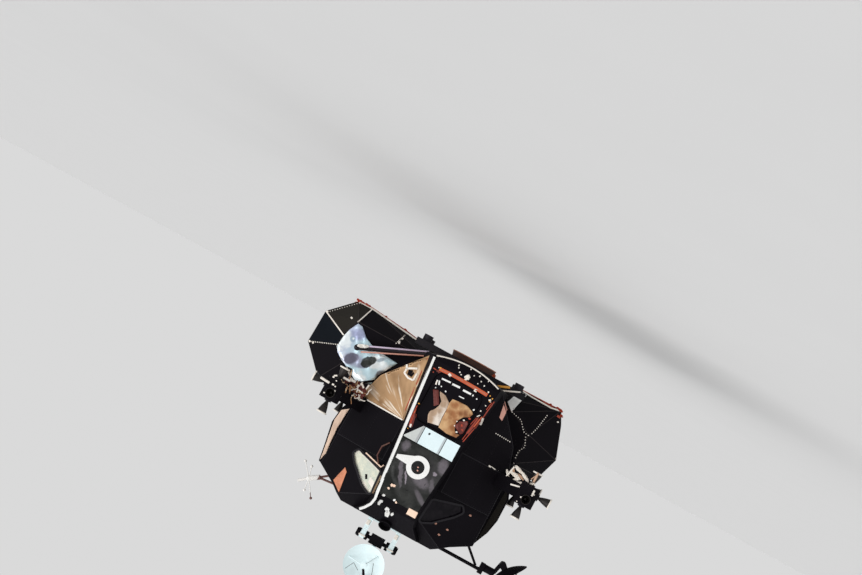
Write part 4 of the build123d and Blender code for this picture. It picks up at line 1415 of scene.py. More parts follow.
@dataclass
class Shop:
    """The tools that every sub-assembly works with."""

    sheets: SheetMaker = field(default_factory=SheetMaker)
    repeater: Repeater = field(default_factory=Repeater)

    def __post_init__(self) -> None:
        """Make the tracer on the shared surfaces."""
        self.tracer = Tracer(self.sheets)

    def rivets(self, name: str, paths: Iterable[Path], finish: Finish, spacing: float,
               radius: float, body: str = STAGE) -> bpy.types.Object:
        """Set rivets along paths, sizes in inches."""
        sizes = {"Spacing": spacing * IN, "Radius": radius * IN, "Height": 0.55}
        return self.repeater.run(name, self.repeater.rivets, paths, sizes, finish, body)

    def beads(self, name: str, paths: Iterable[Path], finish: Finish, radius: float,
              body: str = STAGE) -> bpy.types.Object:
        """Lay beads on paths, sizes in inches."""
        sizes = {"Radius": radius * IN}
        return self.repeater.run(name, self.repeater.beads, paths, sizes, finish, body)


# ---------------------------------------------------------------- sub-assemblies

@dataclass
class CadFinishes:
    """Finishes of the CAD nodes; the nodes not named are black, among them the right skirt, whose
    black is painted shade.
    """

    table: dict[str, Finish] = field(default_factory=lambda: {
        "cabin_skirt_left": SKIRT_GOLD, "cabin_floor": COCKPIT, "instrument_panel": COCKPIT,
        # the left pane's pale glass is painted glare and the right pane's dark glass painted shade
        "window_left": PALE_PANE, "window_right": DARK_PANE, "window_top": GLASS,
        "window_frames": BLACK_SHEET, "window_shade": WHITE, "nose_panels": PANEL_WHITE,
        "tracking_light": WHITE, "tracking_lens": LAMP, "handrail": RAIL, "docking_ring": METAL,
        "docking_tunnel": METAL, "drogue": METAL, "docking_target": WHITE, "ascent_engine": METAL,
        "engine_nozzle": LINER, "aft_neck": BLACK_SHEET, "aft_panels": BLACK_SHEET,
        "base_heat_shield": BLACK_SHEET, "interstage_fittings": DARK_METAL,
        "tank_strut": DARK_METAL, "thruster_bells": BELL_METAL, "radar_stand": ANTENNA_WHITE,
        "radar_dish": ANTENNA_WHITE, "mast_antenna": MAST_WHITE,
    })

    def dress(self) -> None:
        """Give each node its finish."""
        for name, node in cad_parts.items():
            node.data.materials.clear()
            node.data.materials.append(self.table.get(name, BLACK).material())
        log.info("finished %d nodes", len(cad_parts))


@dataclass
class Nose:
    """The nose: film sheet, side strip, trim round the hatch, small fittings and chin."""

    onto: Nodes = ("nose",)
    chin_z: float = 5.5
    chin_rise: float = 4.3
    half: float = 22.6
    lip: float = 0.75
    strip: float = 0.5

    def build(self, shop: Shop) -> None:
        """Make the nose's pieces.

        Args:
            shop: The shared tools.
        """
        lay = shop.sheets.pieces
        lay("nose_blanket", [Patch(
            ((-17, 61.4), (16.9, 61.4), (14.7, 86), (13.5, 98), (-13.5, 98), (-14.7, 86)),
            self.onto, 0.14, wrinkle=0.12, fold=0.12, cell=(1.0, 1.0), view=View.FRONT,
        )], NOSE_SHEET, smooth=True)
        self.side_strip()
        lay("panel_hole", spots(((2.6, 53.0),), ("nose_panels",), 1.2, 0.1), BLACK)
        glints = ((-1.6, 75.6), (-0.9, 73.8))
        lay("lens_glint", spots(glints, ("tracking_lens",), 1.0, 0.06), LEAF)
        self.trim(shop)
        self.fittings(shop)
        self.chin_lip(shop)

    def side_strip(self) -> None:
        """White strip folded over the nose's sunward left corner, from the chin to the brow: the
        side wall's pale film, whitened as a painted highlight.
        """
        corner = ((22.2, 11.0), (21.9, 14.0), (18.35, 50.0), (14.95, 86.0), (13.6, 97.0),
                  (13.0, 102.0), (13.7, 105.6), (15.9, 109.0), (18.2, 111.4))
        brow = 4
        verts, faces = [], []
        for i, (x, z) in enumerate(corner):
            low, high = corner[max(i - 1, 0)], corner[min(i + 1, len(corner) - 1)]
            along = Vector((high[0] - low[0], 0.0, high[1] - low[1])).normalized()
            side = Vector((along.z, 0.0, -along.x))
            fold = self.strip * (0.45 if i > brow else 1.0)
            # the strip's section: across the corner, and Y
            section = ((-1.2, -74.9), (-1.2, -75.3), (0.15, -75.3), (0.2 + fold, -73.0),
                       (fold - 0.1, -72.9), (-0.05, -74.9))
            verts += [(Vector((x, y, z)) + side * across) * IN for across, y in section]
        size = len(section)
        last = len(verts) - size
        for first in range(0, last, size):
            for j in range(size):
                a, b = first + j, first + (j + 1) % size
                faces.append((a, b, b + size, a + size))
        faces += [tuple(range(size))[::-1], tuple(range(last, last + size))]
        mesh = bpy.data.meshes.new("strip")
        mesh.from_pydata(verts, [], faces)
        form = bmesh.new()
        form.from_mesh(mesh)
        bpy.data.meshes.remove(mesh)
        bmesh.ops.triangulate(form, faces=form.faces[:])
        bmesh.ops.recalc_face_normals(form, faces=form.faces[:])
        piece_of(form, "nose_side_strip", WHITE)

    def trim(self, shop: Shop) -> None:
        """Orange and red film strips round the hatch.

        Args:
            shop: The shared tools.
        """
        for name, finish, lift, rows in (
            ("nose_orange_strip", BRIGHT_ORANGE, 0.3, (
                (((16.0, 15.8), (8.0, 15.3), (0.0, 15.4), (-9.0, 15.6), (-16.9, 16.0)), 2.1),
                (((-20.2, 29.0), (-18.9, 36.5)), 0.6), (((16.2, 43.5), (16.6, 46.4)), 0.8))),
            ("nose_strip_highlight", PINK, 0.45, (
                (((15.4, 15.7), (8.0, 15.2), (0.0, 15.3)), 0.3),
                (((-2.0, 15.5), (-16.4, 16.0)), 0.3))),
            ("nose_red_trim", ORANGE, 0.22, (
                (((-22.3, 17.3), (-20.9, 29.1), (-19.8, 36.5), (-17.3, 47.5)), 0.5),
                (((-18.6, 30.0), (-17.6, 37.5), (-16.3, 46.5)), 0.4),
                (((-21.4, 18.6), (-20.5, 24.0)), 0.4), (((-19.4, 33.0), (-17.4, 41.5)), 0.35),
                (((-17.6, 31.0), (-15.9, 38.0)), 0.35),
                (((17.2, 41.5), (17.0, 49.0), (15.6, 54.5)), 0.6),
                (((16.4, 47.0), (15.2, 54.0)), 0.5), (((18.6, 19.2), (14.8, 19.6)), 0.7),
                (((19.4, 17.0), (17.4, 17.2)), 0.6), (((14.9, 44.6), (14.4, 48.0)), 0.5))),
            ("nose_dark_red_sheet", DARK_RED, 0.1, (
                (((16.4, 43.0), (15.8, 49.0), (14.6, 54.4)), 2.2),
                (((-18.9, 31.0), (-17.0, 44.0)), 2.0), (((17.0, 18.0), (14.0, 18.2)), 2.2))),
        ):
            shop.sheets.pieces(name, strips(rows, self.onto, lift, lift), finish)
        shop.sheets.pieces("nose_dark_line", [Patch(
            ribbon(((25.4, 13.5), (21.9, 49.8)), 0.6), ("cabin_skirt_left", "nose"), 0.3, 0.3,
            view=View.FRONT,
        )], ORANGE)

    def fittings(self, shop: Shop) -> None:
        """Small white, tan and yellow fittings.

        Args:
            shop: The shared tools.
        """
        lay, onto = shop.sheets.pieces, self.onto
        bars = strips((
            (((9.6, 15.6), (7.8, 16.6)), 1.5), (((-8.4, 16.9), (-10.2, 16.8)), 1.7),
            (((13.8, 22.4), (13.4, 25.2)), 0.9), (((-21.0, 29.2), (-21.4, 33.6)), 0.9),
            (((-18.8, 28.6), (-17.4, 30.2)), 0.5), (((-20.2, 17.4), (-19.0, 18.2)), 0.8),
            (((15.2, 53.0), (14.7, 55.0)), 1.1)), onto + ("front_hatch",), 0.5, 0.5)
        dots = ((16.6, 15.2), (-19.0, 22.0), (-15.3, 28.6), (-17.9, 26.2), (-20.4, 18.6),
                (-13.6, 8.4), (13.9, 44.9), (14.5, 41.4), (-7.6, 8.2), (4.2, 11.8), (2.8, 12.6),
                (-8.6, 12.6), (6.0, 9.8), (-9.8, 10.6), (-12.6, 12.0), (-16.6, 14.0), (6.6, 8.4),
                (-0.9, 7.0), (-4.4, 9.6))
        lay("nose_white_fittings", bars + spots(dots, onto, 0.75, 0.5), CREAM)
        knot = Stock()
        knot.crumpled((-1.3, -74.9, 12.6), (1.5, 0.5, 2.0), 0.6, 0.5)
        knot.finish("nose_white_knot", CREAM)
        lay("nose_head_tabs", spots(((9.2, 98.1), (2.2, 97.6), (-0.7, 105.6)), onto, 1.5)
            + spots(((8.9, 102.1), (9.3, 103.4)), onto, 2.2)
            + spots(((2.6, 105.4), (2.0, 106.6), (3.4, 104.4)), onto, 2.6), WHITE)
        tab = Patch(((-13.9, 97.0), (-7.9, 97.0), (-7.9, 101.0), (-13.9, 101.0)), onto, 0.5, 0.5,
                    view=View.FRONT)
        tabs = ((8.6, 93.0), (7.8, 90.5), (0.6, 98.3), (6.4, 90.2))
        lay("nose_tan_tabs", [tab] + spots(tabs, onto, 1.5), SHOULDER_TAN)
        bits = ((15.6, 14.9), (-18.6, 15.6), (-20.6, 16.4), (16.9, 40.0), (15.6, 56.2),
                (-19.8, 18.6))
        lay("nose_yellow_bits", spots(bits, onto, 0.8), YELLOW)

    def chin_lip(self, shop: Shop) -> None:
        """Pale lip along the rounded chin.

        Args:
            shop: The shared tools.
        """
        foot = self.chin_z + 0.15 + self.lip / 2
        line = [(x, foot + self.chin_rise * (x / self.half) ** 2) for x in range(-21, 22, 2)]
        patch = Patch(ribbon(line, self.lip), self.onto, 0.12, 0.12, view=View.FRONT)
        shop.sheets.pieces("chin_lip", [patch], CREAM)


@dataclass
class HatchCover:
    """Film blankets on the hatch, with the fittings below them."""

    onto: Nodes = ("front_hatch",)
    notch: Pair = (-12.5, 40.1)
    notch_r: float = 4.3

    def sheet(self, outline: Outline, lift: float, wrinkle: float, fold: float) -> Patch:
        """A patch of the hatch, in the photograph's view."""
        return Patch(outline, self.onto, lift, 0.1, wrinkle, fold, (0.9, 0.9))

    def build(self, shop: Shop) -> None:
        """Make the hatch's pieces, which ride on it.

        Args:
            shop: The shared tools.
        """
        lay, onto = shop.sheets.pieces, self.onto
        lay("hatch_foil_gold", [self.sheet(
            ((0.9, 30.8), (0.3, 28), (-3.2, 27.5), (-9.5, 27.4), (-13.7, 29), (-14.8, 30.2),
             (-13.8, 32.7), (-10.5, 34.5), (-8.7, 37.4), (-8.2, 40.1), (-9.4, 43.2), (-11, 45.3),
             (-13.6, 44.8), (-12.6, 47.3), (-6.2, 47.9), (-0.3, 46.8), (0.4, 40.6), (0.4, 36.3)),
            0.18, 0.12, 0.28)], GOLD, HATCH)
        lay("hatch_foil_pale", [self.sheet(
            ((9.2, 27.5), (7.7, 27.6), (5, 28.1), (1.2, 30.8), (0.7, 32.5), (0.6, 36.3),
             (0.7, 40.6), (0.1, 46), (7, 47.4), (8.9, 43.1), (8.8, 40.7), (6.8, 38.2), (5.6, 35.1),
             (5.6, 32.3), (8, 29.7)), 0.22, 0.12, 0.25)], PALE_GOLD, HATCH)
        u, v = self.notch
        ring = [(max(u + self.notch_r * math.cos(a) * (0.9 + 0.18 * math.sin(5 * a)), -15.0),
                 v + self.notch_r * math.sin(a) * (0.9 + 0.18 * math.cos(3 * a)))
                for a in (2 * math.pi * i / 24 for i in range(24))]
        corner = ((13.5, 28.4), (10.3, 27.2), (5.8, 34.7), (8.3, 37.1))
        lay("hatch_red_covers", [self.sheet(ring, 0.3, 0.5, 0.8),
                                 self.sheet(corner, 0.3, 0.3, 0.4)], DARK_RED, HATCH)
        # pale spots on the red cover's edge are painted highlights
        cover_edge_glints = [(u + self.notch_r * far * math.cos(a), v + self.notch_r * far * math.sin(a))
                  for a, far in ((0.3, 1.0), (5.9, 1.05), (4.9, 1.0), (1.25, 1.0))]
        lay("hatch_cover_painted_glints", spots(cover_edge_glints, onto, 1.0, 0.5), CREAM, HATCH)
        bits = ((-12.0, 39.2), (-13.6, 41.6), (-10.8, 42.0), (-13.6, 36.2), (10.2, 31.6),
                (-14.2, 33.4))
        lay("hatch_orange_bits", spots(bits, onto, 1.3, 0.6), ORANGE, HATCH)
        bars = strips((
            (((11.9, 20.2), (6.0, 19.8)), 1.0), (((4.8, 20.1), (-0.3, 19.8)), 1.2),
            (((-2.6, 20.2), (-8.0, 20.1)), 1.2), (((-2.2, 24.6), (-5.6, 24.4)), 0.6),
            (((12.6, 22.0), (11.6, 24.4)), 0.9)), onto, 0.6, 0.5)
        dots = ((-9.4, 20.2), (-12.4, 21.0), (9.9, 24.5), (6.2, 25.9), (13.6, 22.4),
                (-13.9, 27.6), (12.6, 26.8))
        lay("hatch_sill_fittings", bars + spots(dots, onto, 0.9, 0.6), WHITE, HATCH)
        edge = ((-13.5, 18.2), (13.5, 18.2), (14.9, 22), (14.9, 44), (13.5, 47.8))
        shop.rivets("hatch_rivets", [shop.tracer.line(edge, onto)], DARK_METAL, 1.6, 0.2, HATCH)


@dataclass
class Cabin:
    """The cabin's sheets, seams, window marks and small brackets."""

    skirt: Nodes = ("cabin_skirt_left",)

    def build(self, shop: Shop) -> None:
        """Make the cabin's pieces.

        Args:
            shop: The shared tools.
        """
        lay = shop.sheets.pieces
        lay("skirt_foil", [Patch(
            ((25, 13.4), (30.9, 17.2), (35.0, 21.6), (38.5, 26.2), (41.8, 31.2), (44.3, 37.6),
             (46.8, 44.1), (47.7, 49.5), (47.9, 52), (20.9, 52.5), (21.6, 36.3), (23.2, 24.3),
             (24.6, 12.9)), self.skirt, 0.15, 0.1, 0.10, 0.30, (1.0, 1.0),
        )], SKIRT_GOLD, smooth=True)
        lay("skirt_edge_strip", strips(((((48.6, 52.9), (20.8, 53.3)), 0.8),),
                                       self.skirt + ("cabin_cheek_left",), 0.3, 0.3, (1.5, 2.0)),
            CREAM)
        self.bracket(shop)
        self.seams(shop)
        # the shoulder's tan film; its pale bright tone is partly a painted highlight of the sun on
        # it
        lay("shoulder_tan_panel", [Patch(
            ((54.3, 63.8), (58.3, 66.9), (59.3, 74.1), (56.3, 92.6), (55.2, 100.2), (54.0, 95.3),
             (55.3, 78.3)), ("midsection",), 0.2, 0.2, 0.15, 0.3, (1.0, 2.0), View.FRONT,
        )], SHOULDER_TAN)
        # copper film on a small sunlit facet of the brow, its brightness a painted highlight
        lay("brow_copper_painted_sunlit_facet", [Patch(
            ((39.9, 104.7), (37.3, 94.6), (35.3, 96.6), (33.5, 109.5)), ("cabin_roof",), 0.3, 0.2,
            0.3, 0.5, (1.0, 1.0),
        )], COPPER)
        lay("shoulder_dark_panel", [Patch(
            ((-54.0, 99.6), (-57.3, 89.8), (-58.9, 80), (-58.6, 67), (-55.6, 60)),
            ("midsection",), 0.2, 0.2, view=View.FRONT,
        )], GREEN_BLACK)
        self.window(shop)
        studs = ((-42, 84), (-34, 98), (-26, 98), (-31, 103))
        lay("forehead_studs", spots(studs, ("cabin_roof", "cabin_cheek_right"), 1.3), PINK)
        lay("skirt_right_leaf", [Patch(
            ((-27.7, 14.2), (-31.6, 17.8), (-31.8, 25.3), (-29.5, 24.2)),
            ("cabin_skirt_right", "oxidizer_tank_pod"), 0.3, 0.2, cell=(1.0, 1.0),
        )], LEAF)

    @staticmethod
    def window(shop: Shop) -> None:
        """Pale rim and dark mark of the left pane, and the bare strips beside its frame.

        Args:
            shop: The shared tools.
        """
        lay, pane = shop.sheets.pieces, ("window_left",)
        rim = ((35.0, 81.9), (36.3, 86.8), (28.8, 94.5), (17.9, 101.0), (16.9, 87.6),
               (18.6, 86.9), (35.0, 81.9))
        sides = ((line, 0.55) for line in zip(rim, rim[1:]))
        lay("window_rim", strips(sides, pane, 0.14, 0.12, (2.0, 2.0)), CREAM)
        mark = ((24.98, 92.5), (23.84, 91.87), (22.4, 94.5), (23.56, 95.13))
        lay("window_mark", [Patch(mark, pane, 0.1, 0.06)], BLACK)
        beside = ("cabin_cheek_left", "cabin_roof", "window_frames", "nose")
        for name, finish, lift, row in (
            ("window_tan_strip", SHOULDER_TAN, 0.35,
             (((30.6, 81.1), (18.5, 84.3), (17.6, 82.4)), 0.75)),
            ("window_brown_strip", BROWN, 0.3, (((15.9, 88.8), (15.4, 100.4)), 0.9)),
        ):
            lay(name, strips((row,), beside, lift, lift - 0.05, (1.5, 1.5)), finish)

    def bracket(self, shop: Shop) -> None:
        """Small bracket low on the left skirt, with a black patch inside it as painted shade.

        Args:
            shop: The shared tools.
        """
        lines = (((34.2, 22.8), (33.0, 25.0), (33.0, 28.2)),
                 ((33.2, 25.2), (30.8, 23.6), (27.4, 22.0)),
                 ((33.0, 28.0), (29.6, 29.6), (26.4, 29.4)), ((26.2, 29.4), (26.2, 24.8)))
        loop = strips(((line, 1.1) for line in lines), self.skirt, 0.7, 0.5, (1.5, 1.5))
        shop.sheets.pieces("skirt_bracket", loop, CREAM)
        # a black patch inside the bracket as painted shade
        shaded_inside = ((31.8, 24.9), (31.2, 28.0), (28.2, 28.2), (27.6, 25.6), (29.4, 24.2))
        shop.sheets.pieces("skirt_bracket_painted_shade", [Patch(shaded_inside, self.skirt, 0.45, 0.3)], BLACK)

    @staticmethod
    def seams(shop: Shop) -> None:
        """Seams and rivet rows of the cabin's black sheets.

        Args:
            shop: The shared tools.
        """
        sheets = ("cabin_roof", "cabin_cheek_left", "cabin_cheek_right", "cabin_skirt_right")
        rows = [[(side * x, z) for x, z in row] for side in (-1, 1) for row in (
            ((21.5, 81), (51, 81)), ((21.5, 79), (51, 79)), ((22.5, 55), (50.5, 55)),
            ((36, 56), (36, 78)), ((51, 56), (51, 98)), ((31, 112.6), (39, 106.8), (51, 100.4)),
            ((18.5, 113.2), (18.5, 103), (18.4, 90)))]
        rows += [((-21.6, 52), (-50.5, 52)), ((-27, 33), (-43.6, 33)), ((-21.8, 51), (-25, 13.5)),
                 ((-36, 51.5), (-36, 25.5)), ((-50, 51), (-45, 36.5), (-26.5, 14.8))]
        paths = [shop.tracer.line(row, sheets + ("cabin_front_wall",)) for row in rows]
        shop.rivets("cabin_rivets", paths, BLACK_SHEET, 1.8, 0.2)
        edges = [edge for node in sheets + ("midsection",) for edge in shop.tracer.sharp_edges(
            node, 12, (-62, -67, 8), (62, 34, 114.6), 6.0)]
        shop.beads("cabin_edge_seams", edges, BLACK_SHEET, 0.22)


@dataclass
class TankPods:
    """The pods' foil, panel edges and rivets."""

    fuel: Nodes = ("fuel_tank_pod",)
    oxidizer: Nodes = ("oxidizer_tank_pod",)
    beside: Nodes = ("cabin_skirt_right", "oxidizer_tank_pod")
    edge_y: float = -13.1

    def build(self, shop: Shop) -> None:
        """Make the pods' pieces.

        Args:
            shop: The shared tools.
        """
        self.sheets(shop)
        self.edge_bits()
        self.rods()
        seams = shop.tracer.sharp_edges("fuel_tank_pod", 8, (27, -31, 0), (100, 31, 58), 3.0)
        seams += shop.tracer.sharp_edges("oxidizer_tank_pod", 8, (-76, -31, 0), (-20, 31, 58), 3.0)
        shop.beads("pod_edge_strips", seams, GREY_SHEET, 0.2)
        rows = (
            (((91.6, 17.9), (77.4, 4.0)), self.fuel), (((92.4, 38.4), (77, 32.2)), self.fuel),
            (((46.2, 14.6), (44.0, 8.0)), self.fuel),
            (((-34.8, 17.7), (-41.8, 19.4), (-46.5, 24.8), (-49.9, 25.4)), self.oxidizer),
            (((-51.3, 23.4), (-52.6, 19), (-54.2, 9.6)), self.oxidizer),
            (((-49, 27.1), (-51.3, 32.5), (-49.3, 36.6), (-49.4, 40.2), (-50.2, 44)),
             self.oxidizer),
            (((-32.4, 33.6), (-46.1, 34.1)), ("cabin_skirt_right",)),
        )
        paths = [shop.tracer.line(row, onto, View.PHOTO) for row, onto in rows]
        shop.rivets("pod_rivets", paths, CREAM, 1.6, 0.42)
        self.strut()

    def sheets(self, shop: Shop) -> None:
        """Film, coloured facets, strips and dots, in the photograph's view.

        Args:
            shop: The shared tools.
        """
        lay, fuel, oxidizer, cell = shop.sheets.pieces, self.fuel, self.oxidizer, (1.5, 1.5)
        lay("pod_silver_foil", [Patch(
            ((72, 15.1), (68.9, 15.6), (63.4, 20.6), (59, 22.5), (52, 24.1), (46.5, 24.5),
             (39.8, 25), (42.6, 30.1), (46.7, 37.2), (47.7, 43.2), (52.8, 45.1), (57.2, 45.9),
             (60.4, 44), (61.9, 40.8), (66.1, 41), (69.3, 39.7), (74.1, 36.2), (76.5, 33.2),
             (76.6, 30.2), (76.2, 25.9), (74.8, 20.6)), fuel, 0.45, 0.2, 0.35, 0.9, cell,
        )], SILVER, smooth=True)
        # the same black paint, lit on one facet and shaded on the other: painted light and painted
        # shade
        for name, finish, outline in (
            ("pod_facet_painted_light", GREEN_BLACK,
             ((92.4, 17.7), (78.0, 3.6), (69.3, 3.8), (73.0, 14.3), (76.6, 24.9))),
            ("pod_facet_painted_shade", BLUE_BLACK,
             ((92.9, 18.5), (76.9, 25.9), (77.2, 31.8), (93.4, 38.5))),
        ):
            lay(name, [Patch(outline, fuel, 0.1, 0.2, cell=cell)], finish)
        lay("pod_pale_strips", strips((
            (((77.6, 3.4), (68.7, 3.4), (23.4, 8.7)), 0.8), (((68.7, 3.6), (72.7, 14.6)), 0.7),
            (((92.6, 17.9), (76.4, 25.5)), 0.7)), fuel, 0.35, 0.2, cell) + strips((
                (((-34.6, 3.8), (-40.7, 4.3), (-54.2, 4.5), (-60.0, 3.4)), 0.7),
            ), oxidizer, 0.35, 0.2, cell) + strips((
                # these two pale strips along the right skirt's top edge are painted highlights
                (((-37.6, 52.6), (-44.2, 53.1)), 1.0), (((-46.0, 53.2), (-49.6, 53.4)), 0.7),
            ), self.beside, 0.35, 0.2, cell), CREAM)
        panel = ((-29.4, 13.8), (-33.0, 4.9), (-37.7, 4.9), (-34.3, 17.8))
        lay("pod_white_panel", [Patch(panel, oxidizer, 0.4, 0.2, cell=cell)], WHITE)
        lay("pod_red_bits", strips((
            (((80.2, 4.4), (77.0, 2.6)), 1.1), (((74.5, 2.4), (70.0, 2.4), (63.0, 3.2)), 0.6),
            (((50.0, 4.6), (46.6, 5.0)), 0.5)), fuel, 0.5, 0.2, cell) + strips((
                (((-59.4, 6.8), (-64.6, 7.3)), 1.3), (((-58.2, 3.0), (-63.4, 4.4)), 1.0),
                (((-48, 3.6), (-55.0, 3.8)), 0.4)), oxidizer, 0.5, 0.2, cell), ORANGE)
        dots = ((77.1, 14.2), (44.9, 13.5), (44.2, 10.7), (91.9, 17.9), (92.6, 38.4), (90.4, 38.2))
        more = ((-61.6, 9.9), (-66.6, 11.6), (-71.0, 29.7), (-34.6, 15.4))
        lay("pod_dots", spots(dots, fuel, 1.3) + spots(more, oxidizer, 1.0), CREAM)

    def edge_bits(self) -> None:
        """Red film bunched along the pods' lower front edges."""
        bits = Stock()
        for x, z, size in (
            (82.6, 1.5, 1.9), (81.0, 1.3, 1.4), (79.4, 1.5, 1.0), (76.8, 1.4, 1.7),
            (75.0, 1.5, 1.1), (62.6, 2.4, 0.9), (47.8, 3.8, 1.2), (-55.2, 1.5, 0.9),
            (-60.6, 1.4, 1.5), (-62.6, 1.6, 1.7), (-64.3, 4.4, 1.5),
        ):
            bits.crumpled((x, self.edge_y, z), (size, 0.9, 0.8), 0.6, 0.3)
        for line in (((82.3, 1.4), (72.5, 1.4), (46.0, 4.0), (30.0, 6.5)),
                     ((-35.1, 1.8), (-62.9, 1.4))):
            for start, end in zip(line, line[1:]):
                bits.bar((start[0], self.edge_y, start[1]), (end[0], self.edge_y, end[1]), 0.32)
        bits.finish("pod_edge_foil_bits", ORANGE)

    @staticmethod
    def rods() -> None:
        """The yellow and the white rod at the base, right of the nose."""
        for name, finish, rod in (
            ("base_yellow_rod", YELLOW, ((-19.4, -38.4, 8.0), (-27.2, -38.4, 4.7), 0.75)),
            ("base_white_rod", CREAM, ((-23.5, -39.0, 8.9), (-34.2, -39.0, 4.2), 0.5)),
        ):
            stock = Stock()
            stock.bar(*rod)
            stock.finish(name, finish, smooth=True)

    @staticmethod
    def strut() -> None:
        """Film at the strut's end, and thin rods along its edges that are painted highlights."""
        lump, upper_highlight, lower_highlight = Stock(), Stock(), Stock()
        lump.crumpled((65.0, -36.4, 25.6), (3.6, 0.8, 1.2), 0.4, -0.4)
        lump.finish("strut_end_foil", CRUMPLED_WHITE)
        # lilac and leaf rods along the strut's edges stand for painted highlights
        upper_highlight.bar((27.4, -37.2, 9.2), (66.8, -35.4, 26.2), 0.55)
        upper_highlight.finish("strut_upper_painted_highlight", LILAC, smooth=True)
        lower_highlight.bar((29.0, -36.8, 12.9), (64.6, -34.6, 29.4), 0.5)
        lower_highlight.finish("strut_lower_painted_highlight", LEAF, smooth=True)


